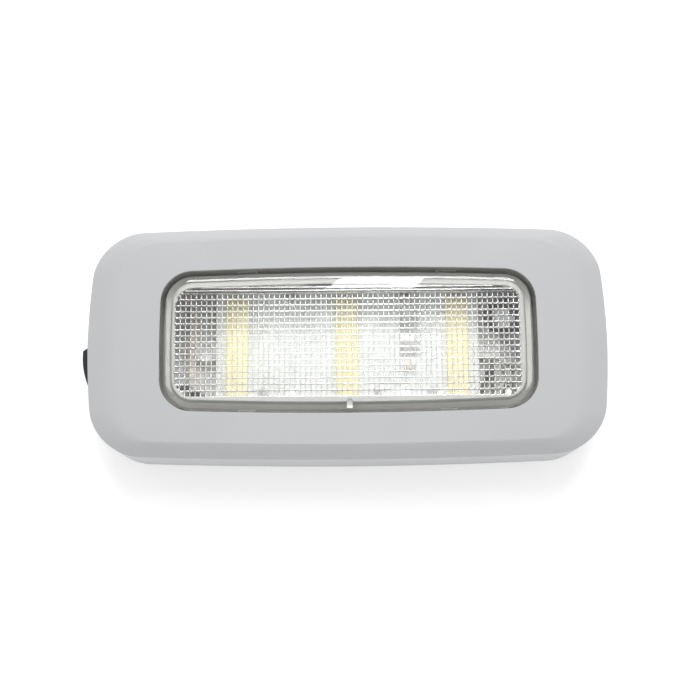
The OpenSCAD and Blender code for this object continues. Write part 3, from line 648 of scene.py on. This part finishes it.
# The well under the window and the ledge that the lens rests on
WELL_DEPTH = 9 * MM
WELL_WALL = 1.5 * MM
LEDGE = 1.4 * MM
LEDGE_REACH = 2.7 * MM
WINDOW_ROUND = 0.14 * MM
WINDOW_BOW = 1.1 * MM
WINDOW_END_BOW = 0.5 * MM

# Ribs between the well and the long walls, and the pad behind the switch
RIB = 1.2 * MM
RIB_PLACES = (-42 * MM, -14 * MM, 14 * MM, 42 * MM)
RIB_FOOT = 2 * MM
SWITCH_PAD = (Vector((-71.5, -14.6, 3.9)) * MM, Vector((-69.4, 3.6, 17.1)) * MM)

# Slots for the lens catches: their places, half their length and their heights
CATCH_PLACES = (-28 * MM, 28 * MM)
CATCH_SLOT_HALF = 2.8 * MM
CATCH_SLOT = (18.6 * MM, 20.8 * MM)

# Pockets for the hooks of the base plate, in the same way, and their depth
HOOK_PLACES = (-44 * MM, 0.0, 44 * MM)
HOOK_POCKET_HALF = 3.8 * MM
HOOK_POCKET = (6.9 * MM, 9.3 * MM)
HOOK_POCKET_DEPTH = 1.2 * MM

# Corners of the opening for the switch and of the recess for its flange, and their roundings
SWITCH_CUTS = {
    "opening": (Vector((-80, -12.7, 5.8)) * MM, Vector((-66.0, 1.7, 15.2)) * MM, 0.0),
    "recess": (Vector((-80, -13.6, 4.9)) * MM, Vector((-71.4, 2.6, 16.1)) * MM, 0.5 * MM),
}

# How far a tool reaches into what it joins or past what it cuts
OVERLAP = 0.3 * MM


def window_ring(lens, inset, more_across=0.0):
    """The window's outline made smaller by an inset, and by some more along its long sides."""
    across = inset + more_across
    ring = bowed_rectangle(lens.window_length - 2 * inset, lens.window_width - 2 * across,
                           lens.window_corner - inset, WINDOW_BOW, WINDOW_END_BOW)
    return [p + Vector((lens.aside, 0)) for p in ring]


def body_ring(size, along, across):
    """The housing's outline made smaller at its ends and along its long sides."""
    return bowed_rectangle(size.length - 2 * along, size.width - 2 * across,
                           max(size.corner - across, LEAST_CORNER), size.long_bow, size.end_bow)


def sloping_edge(size, inset, high):
    """Rings over the sloping, rounded edge of the housing or of its cavity."""
    rings = []
    for i in range(EDGE_STEPS + 1):
        u = i / EDGE_STEPS
        along = inset + size.end_edge_width * (1 - (1 - u) ** END_CURVE)
        across = inset + size.edge_width * (1 - (1 - u) ** SIDE_CURVE)
        rings.append(lift(body_ring(size, along, across), high - size.edge_drop * (1 - u)))
    return rings


def housing_shell(size, lens, finish):
    """The moulded shell in one closed skin, from its foot over the face and back inside."""
    top = size.height
    well = top - WELL_DEPTH
    seat = well + LEDGE
    under = top - FACE
    rings = [lift(body_ring(size, FOOT_ROUND * (1 - s), FOOT_ROUND * (1 - s)),
                  FOOT_ROUND * (1 - c)) for s, c in arc(0, 90)]
    rings += sloping_edge(size, 0.0, top)
    rings += [lift(window_ring(lens, -WINDOW_ROUND * (1 - s)), top - WINDOW_ROUND * (1 - c))
              for s, c in arc(0, 90, 5)]
    rings += [lift(window_ring(lens, inset), z) for inset, z in (
        (0.0, seat), (LEDGE_REACH, seat), (LEDGE_REACH, well), (-WELL_WALL, well),
        (-WELL_WALL, under))]
    rings += reversed(sloping_edge(size, WALL, under))
    rings += [lift(body_ring(size, inset, inset), z) for inset, z in (
        (WALL, PLATE), (REBATE, PLATE), (REBATE, 0.0))]
    bm = bmesh.new()
    loft(bm, rings, close=True)
    return new_piece("housing_shell", bm, finish, "lamp", smooth=30.0)


def beside(length, width, bow, x):
    """How far a bowed long side lies from the middle at a place along it."""
    return width / 2 - bow * (2 * x / length) ** 2


def housing_stiffening(size, lens):
    """Tool for the ribs between the well and the long walls, and for the pad of the switch."""
    under = size.height - FACE
    foot = size.height - WELL_DEPTH + RIB_FOOT
    bm = bmesh.new()
    for x in RIB_PLACES:
        inner = beside(lens.window_length, lens.window_width, WINDOW_BOW, x) + OVERLAP
        outer = beside(size.length - 2 * WALL, size.width - 2 * WALL, size.long_bow, x) + OVERLAP
        rib = [(inner, foot), (outer, foot), (outer, under - size.edge_drop),
               (outer - size.edge_width, under + OVERLAP), (inner, under + OVERLAP)]
        for outline in on_both_sides(rib):
            slab_mesh(bm, outline, x - RIB / 2, x + RIB / 2)
    box_mesh(bm, *SWITCH_PAD)
    return new_piece("stiffening", bm, bpy.data.materials[0], None)


def snap_pockets(size, lens):
    """Tool for the slots of the lens catches and the pockets of the base plate hooks."""
    pockets = []
    for x in CATCH_PLACES:
        near = beside(lens.window_length, lens.window_width, WINDOW_BOW, x) - OVERLAP
        pockets.append((x, CATCH_SLOT_HALF, near, near + WELL_WALL + 2 * OVERLAP, *CATCH_SLOT))
    for x in HOOK_PLACES:
        near = beside(size.length - 2 * WALL, size.width - 2 * WALL, size.long_bow, x) - OVERLAP
        pockets.append((x, HOOK_POCKET_HALF, near, near + HOOK_POCKET_DEPTH, *HOOK_POCKET))
    bm = bmesh.new()
    for x, half, near, far, low, high in pockets:
        for outline in on_both_sides([(near, low), (far, low), (far, high), (near, high)]):
            slab_mesh(bm, outline, x - half, x + half)
    return new_piece("pockets", bm, bpy.data.materials[0], None)


def switch_cutters():
    """Tools for the switch opening and for the recess that takes its flange."""
    tools = []
    for name, (low, high, round_off) in SWITCH_CUTS.items():
        bm = bmesh.new()
        box_mesh(bm, low, high, round_off)
        tools.append(new_piece(name, bm, bpy.data.materials[0], None))
    return tools


class LAMP_OT_housing(bpy.types.Operator):
    """Builds the moulded housing with its window, well and switch opening."""
    bl_idname = "lamp.housing"
    bl_label = "Housing"

    def execute(self, context):
        lamp = context.scene.reading_light
        finish = plastic("Grey moulded plastic", lamp.housing.colour, rough=0.42, spread=0.012,
                         grain=1500.0, depth=0.00003, cloud=70.0)
        # Painted shade: the housing's colour is darkened down in the joint round the lens
        paint_joint_shade(finish, lamp.lens, lamp.housing.height)
        shell = housing_shell(lamp.housing, lamp.lens, finish)
        carve(shell, [housing_stiffening(lamp.housing, lamp.lens)], "UNION")
        carve(shell, [snap_pockets(lamp.housing, lamp.lens), *switch_cutters()])
        even_shading(shell, smooth=30.0)
        stands_for(shell, "housing")
        return {"FINISHED"}


def across_prism(half, rim):
    """Places across a prism, as shares of half its pitch: border, edges and middle of its flat."""
    flat = 1 - rim / half
    return (-1.0, -flat, 0.0, flat)


# Depth of the grooves between prisms in a row, as a share of the depth between the rows
CROSS_GROOVE = 0.6


def prism_height(size, u, v, flat_u, flat_v):
    """Height of a prism: steep from its border up to a slightly domed flat."""
    across = 1 - CROSS_GROOVE * (1 - min((1 - abs(u)) / (1 - flat_u), 1.0))
    rise = min(across, (1 - abs(v)) / (1 - flat_v))
    dome = max(1 - (u / flat_u) ** 2, 0) * max(1 - (v / flat_v) ** 2, 0)
    return size.depth * rise + size.dome * dome


def within(ring, spot, room=0.06 * MM):
    """True if a spot lies inside an anticlockwise ring without hollows, with some room to spare."""
    return all((b.x - a.x) * (spot.y - a.y) - (b.y - a.y) * (spot.x - a.x)
               > room * (b - a).length for a, b in zip(ring, ring[1:] + ring[:1]))


def prism_sheet(bm, size, roof, ring):
    """Rows of shallow pillows under the lens roof, cut off along a ring; returns their rim."""
    places_x = across_prism(size.pitch_x / 2, size.rim * CROSS_GROOVE)
    places_y = across_prism(size.pitch_y / 2, size.rim)
    steps = len(places_x)
    across, along = size.columns * steps, (size.rows + size.ribs) * steps
    half = Vector((size.columns * size.pitch_x / 2, size.rows * size.pitch_y / 2))
    made = bmesh.ops.create_grid(bm, x_segments=across, y_segments=along, size=0.5)["verts"]
    for v in made:
        i, j = round((v.co.x + 0.5) * across), round((v.co.y + 0.5) * along)
        u, w = places_x[i % steps], places_y[j % steps]
        row = j // steps + (w + 1) / 2
        v.co.x = (i // steps + (u + 1) / 2) * size.pitch_x - half.x
        v.co.y = row * size.pitch_y - half.y - size.shift
        if row > size.rows:
            v.co.y = half.y - size.shift + (row - size.rows) * size.rib_pitch
            u = 0.0
        v.co.z = roof - prism_height(size, u, w, places_x[-1], places_y[-1])
    lost = [face for face in {f for v in made for f in v.link_faces}
            if not all(within(ring, v.co) for v in face.verts)]
    bmesh.ops.delete(bm, geom=lost, context="FACES")
    kept = {v for v in made if v.is_valid}
    return [e for e in {e for v in kept for e in v.link_edges} if e.is_boundary]


# The edge of the lens in section: a round corner, then an ever flatter chamfer. Insets and drops
# in millimetres of its start, of the two handles and the end of each curve, and of the ring of
# the flat top that keeps its shading flat
EDGE_START = (0.0, 2.55)
EDGE_CURVES = (
    ((0.0, 1.936), (0.065, 1.685), (0.27, 1.326)),
    ((0.427, 1.062), (0.725, 0.776), (1.15, 0.606)),
    ((1.29, 0.546), (1.784, 0.422), (2.3, 0.32)),
    ((2.93, 0.215), (3.771, 0.105), (4.9, 0.0)),
)
CURVE_STEPS = 6
FLAT_TOP = (5.2, 0.0)

# Fillet between the lens roof and its skirt: height, width at the ends, extra width along the
# long sides, and how much wider it is on the far side than on the near side
FILLET_HIGH = 1.6 * MM
FILLET_END = 0.7 * MM
FILLET_MORE = 0.25 * MM
FILLET_SHIFT = 0.4 * MM

# Width of the flat border between the fillet and the prisms' ring
BORDER_STEP = 0.15 * MM

# How far the lens stands clear of its ledge, and the angle up to which it is shaded smooth
SEAT_ROOM = 0.03 * MM
LENS_SMOOTH = 24.0

# Slots of the lens materials
CLEAR, FROSTED, SATIN, PRISMATIC = range(4)


def edge_profile():
    """Insets and drops over the edge of the lens, from its side wall to its flat top."""
    profile = [Vector(EDGE_START)]
    for curve in EDGE_CURVES:
        profile += interpolate_bezier(profile[-1], *map(Vector, curve), CURVE_STEPS + 1)[1:]
    return profile + [Vector(FLAT_TOP)]


def lens_cover(size, seat, top, finishing):
    """The clear tray: rounded outside, plain skirt, and pillow prisms under its roof."""
    roof = top - size.roof
    inside = size.gap + size.wall
    outer = [lift(window_ring(size, size.gap), seat)]
    outer += [lift(window_ring(size, size.gap + inset * MM), top - drop * MM)
              for inset, drop in edge_profile()]
    inner = [lift(window_ring(size, inside), z) for z in (seat, roof - FILLET_HIGH)]
    for s, c in arc(0, 90, 10)[1:]:
        ring = window_ring(size, inside + FILLET_END * (1 - c), FILLET_MORE * (1 - c))
        aside = Vector((0, -FILLET_SHIFT * (1 - c)))
        inner.append(lift([p + aside for p in ring], roof - FILLET_HIGH * (1 - s)))
    ring = window_ring(size, inside + FILLET_END + BORDER_STEP, FILLET_MORE)
    inner.append(lift([p - Vector((0, FILLET_SHIFT)) for p in ring], roof))
    bm = bmesh.new()
    finishes = [CLEAR] * len(outer) + [FROSTED] * 2 + [SATIN] * (len(inner) - 2)
    outer_top, inner_top = loft(bm, outer[::-1] + inner, finishes=finishes)
    bmesh.ops.contextual_create(bm, geom=outer_top)
    plain = set(bm.faces)
    rim = prism_sheet(bm, size, roof, inner[-1])
    for face in set(bm.faces) - plain:
        face.material_index = PRISMATIC
    border = bmesh.ops.triangle_fill(bm, use_beauty=True, use_dissolve=False,
                                     edges=inner_top + rim)["geom"]
    for face in (g for g in border if isinstance(g, bmesh.types.BMFace)):
        face.material_index = SATIN
    cover = new_piece("lens_cover", bm, finishing[CLEAR], "lamp", smooth=LENS_SMOOTH)
    for finish in finishing[CLEAR + 1:]:
        cover.data.materials.append(finish)
    return cover


# Wedges of the catches: half their length, and over the seat of the lens their foot, the height
# of their slope, the height of their top, and their reach
CATCH_HALF = 2.5 * MM
CATCH_FOOT = 2.5 * MM
CATCH_SLOPE = 0.96 * MM
CATCH_HIGH = 1.6 * MM
CATCH_REACH = 1.9 * MM

# Centre of the round end of the lifting notch, how far its satin floor runs from there, and how
# far the tool for it reaches
NOTCH = Vector((0.5, -17.25)) * MM
NOTCH_FLOOR = 1.15 * MM
NOTCH_REACH = 8 * MM

# Radius of the notch and depth under the top of the lens: its floor, its walls and its flare
NOTCH_RINGS = ((0.8 * MM, 1.3 * MM), (0.8 * MM, 0.5 * MM), (1.02 * MM, -0.2 * MM))


def lens_catches(size, foot, finish):
    """Tool for the wedges on the skirt that click into the well."""
    bm = bmesh.new()
    for x in CATCH_PLACES:
        y = beside(size.window_length - 2 * size.gap, size.window_width - 2 * size.gap,
                   WINDOW_BOW, x)
        tip = y + CATCH_REACH
        wedge = [(y - size.wall / 2, foot), (y, foot), (tip, foot + CATCH_SLOPE),
                 (tip, foot + CATCH_HIGH), (y - size.wall / 2, foot + CATCH_HIGH)]
        for outline in on_both_sides(wedge):
            slab_mesh(bm, outline, x - CATCH_HALF, x + CATCH_HALF)
    return new_piece("catches", bm, finish, None)


def lifting_notch(top, finish):
    """Tool for the arched notch in the near edge: flared rim, satin floor and a frosted lip."""
    bm = bmesh.new()
    rings = []
    for half, drop in NOTCH_RINGS:
        arch = [NOTCH + half * Vector((c, s)) for s, c in arc(0, 180, 12)]
        arch += [Vector((NOTCH.x + side * half, NOTCH.y - NOTCH_REACH)) for side in (-1, 1)]
        rings.append(lift(arch, top - drop))
    for edges in loft(bm, rings):
        bmesh.ops.contextual_create(bm, geom=edges)
    bmesh.ops.bisect_plane(bm, geom=bm.verts[:] + bm.edges[:] + bm.faces[:], dist=SAME_SPOT,
                           plane_co=(0, NOTCH.y - NOTCH_FLOOR, 0), plane_no=(0, 1, 0))
    tool = new_piece("notch", bm, finish, None)
    for face in tool.data.polygons:
        is_floor = face.normal.z < -0.5 and face.center.y > NOTCH.y - NOTCH_FLOOR
        face.material_index = SATIN if is_floor else FROSTED
    return tool


class LAMP_OT_lens(bpy.types.Operator):
    """Builds the clear lens with its rows of pillow prisms and the lifting notch."""
    bl_idname = "lamp.lens"
    bl_label = "Lens"

    def execute(self, context):
        size = context.scene.reading_light.lens
        finish = clear_plastic("Clear lens plastic", size.tint)
        frost = plastic("Frosted lens plastic", size.frost, rough=0.55, grain=1800.0,
                        depth=0.00004)
        border = plastic("Satin lens border", size.border, rough=0.5, grain=1500.0,
                         depth=0.00003)
        prisms = clear_plastic("Prism plastic", size.tint, rough=0.16)
        seat, top = LENS_BOX[0].z, LENS_BOX[1].z
        cover = lens_cover(size, seat + SEAT_ROOM, top, (finish, frost, border, prisms))
        carve(cover, [lens_catches(size, seat + CATCH_FOOT, finish)], "UNION")
        carve(cover, [lifting_notch(top, finish)])
        shade(cover.data, LENS_SMOOTH)
        stands_for(cover, "lens")
        return {"FINISHED"}


# Back


class LAMP_OT_back(bpy.types.Operator):
    """Finishes the base plate and the rubber grommet of the cable inlet."""
    bl_idname = "lamp.back"
    bl_label = "Back"

    def execute(self, context):
        plate = plastic("Base plate plastic", (0.6, 0.6, 0.59), rough=0.5, spread=0.02,
                        grain=1200.0, depth=0.00003, dust=0.1)
        rubber = plastic("Black rubber", (0.02, 0.02, 0.02), rough=0.65, spread=0.1,
                         grain=2500.0, depth=0.00002, dust=0.12)
        refined("base_cover", "base_plate", plate, "lamp", 0.12 * MM)
        refined("inlet_grommet", "cable_grommet", rubber, "lamp", 0.2 * MM)
        return {"FINISHED"}


# Light board

# Places of the solder at two leads and beside the light bars, the radius and height of its domes,
# and the angles that they run over, all in millimetres and degrees
LEAD_SOLDER = (36.2, -14.4)
BAR_SOLDER = 15.4
LEAD_DOME = (1.25, 0.55)
BAR_DOME = (0.8, 0.3)
DOME_ANGLES = (-10, 80)
DOME_SIDES = 20

# Height of the carrier under a light bar over the board, and half the width of a driver part
# between its pins
CARRIER_HIGH = 0.95 * MM
PACKAGE_HALF = 1.97 * MM


def solder_joints(finish):
    """Flat domes of solder round the ends of two leads and beside the ends of the light bars."""
    x, y = LEAD_SOLDER
    spots = [(side * x, y, *LEAD_DOME) for side in (-1, 1)]
    for place in ("left", "middle", "right"):
        low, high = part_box(f"led_bar_{place}")
        middle = (low.x + high.x) / 2 / MM
        spots += [(middle, side * BAR_SOLDER, *BAR_DOME) for side in (-1, 1)]
    bm = bmesh.new()
    for x, y, radius, high in spots:
        rings = []
        for s, c in arc(*DOME_ANGLES, 5):
            rings.append([Vector((x + radius * c * across, y + radius * c * along,
                                  BOARD_TOP / MM + high * s)) * MM
                          for along, across in arc(0, 360, DOME_SIDES)[:-1]])
        for edges in loft(bm, rings):
            bmesh.ops.contextual_create(bm, geom=edges)
    new_piece("solder_joint_set", bm, finish, "lamp", smooth=50.0)


class LAMP_OT_light_board(bpy.types.Operator):
    """Builds the white board with its light bars, driver parts and screws."""
    bl_idname = "lamp.light_board"
    bl_label = "Light board"

    def execute(self, context):
        size = context.scene.reading_light.board
        mask = plastic("White solder mask", size.mask, rough=0.3, spread=0.015, grain=900.0,
                       depth=0.00001, dust=0.05)
        phosphor = plastic("Yellow phosphor", size.phosphor, rough=0.5, spread=0.05,
                           grain=4000.0, depth=0.00004)
        chip = plastic("Grey epoxy", (0.4, 0.4, 0.395), rough=0.45, spread=0.1)
        tan = plastic("Brown ceramic", (0.6, 0.55, 0.48), rough=0.35)
        steel = zinc_plated_steel()
        tin = metal("Bright solder", (0.75, 0.75, 0.76), rough=0.25)
        carrier = plastic("Cream carrier", size.carrier, rough=0.45, spread=0.03)
        refined("board_panel", "led_board", mask, "lamp", 0.08 * MM)
        for place in ("left", "middle", "right"):
            bar = refined(f"light_bar_{place}", f"led_bar_{place}", phosphor, "lamp",
                          0.1 * MM)
            second_finish(bar, carrier, lambda spot: spot.z < BOARD_TOP + CARRIER_HIGH)
            capped_chip(f"resistor_chip_{place}", f"resistor_{place}", chip, tin,
                        cap=0.45 * MM)
        capped_chip("capacitor_chip", "capacitor", tan, tin, cap=0.5 * MM)
        for name, node in (("rectifier_package", "rectifier"), ("driver_package", "driver_chip")):
            package = refined(name, node, chip, "lamp", 0.05 * MM)
            middle = (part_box(node)[0].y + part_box(node)[1].y) / 2
            second_finish(package, tin, lambda spot: abs(spot.y - middle) > PACKAGE_HALF)
        refined("board_screw_set", "board_screws", steel, "lamp", 0.06 * MM)
        solder_joints(tin)
        return {"FINISHED"}


# Terminal block and leads


class LAMP_OT_terminals(bpy.types.Operator):
    """Finishes the terminal block, its brass clamps and their screws."""
    bl_idname = "lamp.terminals"
    bl_label = "Terminal block"

    def execute(self, context):
        body = plastic("Grey block plastic", (0.27, 0.27, 0.26), rough=0.45, spread=0.08)
        brass = clamp_brass()
        steel = zinc_plated_steel()
        refined("connector_block", "terminal_block", body, "lamp", 0.15 * MM)
        refined("clamp_pair", "terminal_cages", brass, "lamp", 0.06 * MM)
        refined("clamp_screw_pair", "terminal_screws", steel, "lamp", 0.08 * MM)
        return {"FINISHED"}


class LAMP_OT_leads(bpy.types.Operator):
    """Finishes the three inner leads."""
    bl_idname = "lamp.leads"
    bl_label = "Leads"

    def execute(self, context):
        red = plastic("Pale red insulation", (0.93, 0.79, 0.68), rough=0.38, spread=0.05)
        black = plastic("Black insulation", (0.015, 0.015, 0.016), rough=0.38, spread=0.1)
        for name, node, slot, finish in (
                ("red_lead", "supply_lead", "red_insulation", red),
                ("black_switch_lead", "switch_lead", "black_insulation", black),
                ("black_return_lead", "return_lead", "black_insulation", black)):
            refined(name, node, finish, "lamp", smooth=60.0, swell=0.05 * MM)
        return {"FINISHED"}


# Switch


class LAMP_OT_switch(bpy.types.Operator):
    """Builds the rocker switch: frame, rocker, plunger, spring, blade and terminals."""
    bl_idname = "lamp.switch"
    bl_label = "Rocker switch"

    def execute(self, context):
        tone = context.scene.reading_light.switch.colour
        case = plastic("Black switch plastic", tone, rough=0.35, spread=0.1, grain=3000.0,
                       depth=0.00001, dust=0.05)
        nylon = plastic("Natural nylon", (0.75, 0.72, 0.62), rough=0.4)
        copper = metal("Contact copper", (0.72, 0.4, 0.26), rough=0.25)
        brass = clamp_brass()
        steel = zinc_plated_steel()
        refined("switch_frame", "switch_body", case, "lamp", 0.12 * MM)
        refined("rocker_key", "rocker", case, "rocker", 0.18 * MM)
        refined("plunger_pin", "plunger", nylon, "plunger")
        coil = refined("plunger_coil", "plunger_spring", steel, None, smooth=60.0)
        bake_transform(coil)
        refined("seesaw_blade", "contact_blade", copper, "blade", 0.05 * MM)
        refined("common_tab", "terminal_common", brass, "lamp", 0.05 * MM)
        refined("switched_tab", "terminal_switched", brass, "lamp", 0.05 * MM)
        return {"FINISHED"}


# Stage

# Half the side of the floor: far enough that its edge lies on the horizon of a low view
FLOOR_REACH = 60.0

# Strength of the paper's own glow
PAPER_GLOW = 0.25

# Places and sizes of the two softboxes, and the small one's share of the main one's power
KEY_SPOT, KEY_SIZE = (0.08, 0.96, 1.12), (0.96, 0.16)
SMALL_KEY_SPOT, SMALL_KEY_SIZE = (0.043, 0.67, 1.28), (0.125, 0.58)
SMALL_KEY_SHARE = 0.45

# What the camera looks at, its sensor in millimetres, and the photograph's width, its lens and
# its shift in the photograph's pixels
AIM = Vector((0, 0, 24 * MM))
SENSOR = 36.0
PHOTO_WIDTH = 700
PHOTO_LENS = 1303
PHOTO_SHIFT = (2.6, -11.1)


def softbox(name, spot, size, power):
    """A rectangular area lamp at a spot, turned towards the middle of the floor."""
    light = bpy.data.lights.new(name, "AREA")
    light.shape = "RECTANGLE"
    light.size, light.size_y = size
    light.energy = power
    lamp = bpy.data.objects.new(name, light)
    lamp.location = spot
    lamp.rotation_euler = (-Vector(spot)).to_track_quat("-Z", "Y").to_euler()
    bpy.context.scene.collection.objects.link(lamp)


def photo_camera(stage):
    """The camera of the photograph: high over the near long side."""
    data = bpy.data.cameras.new("Studio camera")
    data.sensor_width = SENSOR
    data.lens = SENSOR * PHOTO_LENS / PHOTO_WIDTH
    data.clip_start, data.clip_end = 0.01, 2 * FLOOR_REACH
    data.shift_x, data.shift_y = (shift / PHOTO_WIDTH for shift in PHOTO_SHIFT)
    camera = bpy.data.objects.new("Studio camera", data)
    back = Vector((0, -math.cos(stage.tilt), math.sin(stage.tilt)))
    camera.location = AIM + back * stage.distance
    turn = (-back).to_track_quat("-Z", "Y") @ Matrix.Rotation(stage.roll, 4, "Z").to_quaternion()
    camera.rotation_euler = turn.to_euler()
    bpy.context.scene.collection.objects.link(camera)
    bpy.context.scene.camera = camera


def clear_from_below(material):
    """Lets a view from under the floor through."""
    nodes, links = material.node_tree.nodes, material.node_tree.links
    side, through = nodes.new("ShaderNodeNewGeometry"), nodes.new("ShaderNodeBsdfTransparent")
    mix = nodes.new("ShaderNodeMixShader")
    links.new(side.outputs["Backfacing"], mix.inputs["Fac"])
    links.new(nodes["Principled BSDF"].outputs["BSDF"], mix.inputs[1])
    links.new(through.outputs["BSDF"], mix.inputs[2])
    links.new(mix.outputs["Shader"], nodes["Material Output"].inputs["Surface"])


class LAMP_OT_stage(bpy.types.Operator):
    """Sets the pale floor, the soft light and the camera."""
    bl_idname = "lamp.stage"
    bl_label = "Stage"

    def execute(self, context):
        stage = context.scene.reading_light.stage
        bm = bmesh.new()
        bmesh.ops.create_grid(bm, x_segments=2, y_segments=2, size=FLOOR_REACH)
        paper = plastic("White paper", stage.floor, rough=0.8, spread=0.01, grain=400.0,
                        depth=0.00002, shine=0.2)
        shader = paper.node_tree.nodes["Principled BSDF"]
        shader.inputs["Emission Color"].default_value = (1.0, 1.0, 1.0, 1.0)
        shader.inputs["Emission Strength"].default_value = PAPER_GLOW
        clear_from_below(paper)
        new_piece("studio_floor", bm, paper, None)
        world = bpy.data.worlds.new("Studio light")
        world.use_nodes = True
        background = world.node_tree.nodes["Background"]
        background.inputs["Color"].default_value = (1.0, 1.0, 1.0, 1.0)
        background.inputs["Strength"].default_value = stage.fill
        context.scene.world = world
        softbox("Key softbox", KEY_SPOT, KEY_SIZE, stage.key)
        softbox("Small key softbox", SMALL_KEY_SPOT, SMALL_KEY_SIZE, SMALL_KEY_SHARE * stage.key)
        photo_camera(stage)
        context.scene.view_settings.view_transform = "Standard"
        return {"FINISHED"}


OPERATORS = (LAMP_OT_housing, LAMP_OT_lens, LAMP_OT_back, LAMP_OT_light_board,
             LAMP_OT_terminals, LAMP_OT_leads, LAMP_OT_switch, LAMP_OT_stage)


class LAMP_PT_panel(bpy.types.Panel):
    """Lists the operators that build the reading light."""
    bl_label = "Reading Light"
    bl_idname = "LAMP_PT_panel"
    bl_space_type = "VIEW_3D"
    bl_region_type = "UI"
    bl_category = "Reading Light"

    def draw(self, context):
        lamp = context.scene.reading_light
        for group in (lamp.housing, lamp.lens, lamp.board, lamp.switch, lamp.stage):
            box = self.layout.box()
            for key in group.__annotations__:
                box.prop(group, key)
        for operator in OPERATORS:
            self.layout.operator(operator.bl_idname)


CLASSES = (HousingSettings, LensSettings, BoardSettings, SwitchSettings, StageSettings,
           LampSettings, *OPERATORS, LAMP_PT_panel)


def register():
    for cls in CLASSES:
        bpy.utils.register_class(cls)
    bpy.types.Scene.reading_light = bpy.props.PointerProperty(type=LampSettings)


def unregister():
    del bpy.types.Scene.reading_light
    for cls in reversed(CLASSES):
        bpy.utils.unregister_class(cls)


def main():
    """Builds the whole light and its stage."""
    register()
    for step in (bpy.ops.lamp.housing, bpy.ops.lamp.lens, bpy.ops.lamp.back,
                 bpy.ops.lamp.light_board, bpy.ops.lamp.terminals, bpy.ops.lamp.leads,
                 bpy.ops.lamp.switch, bpy.ops.lamp.stage):
        step()


if __name__ == "__main__":
    main()
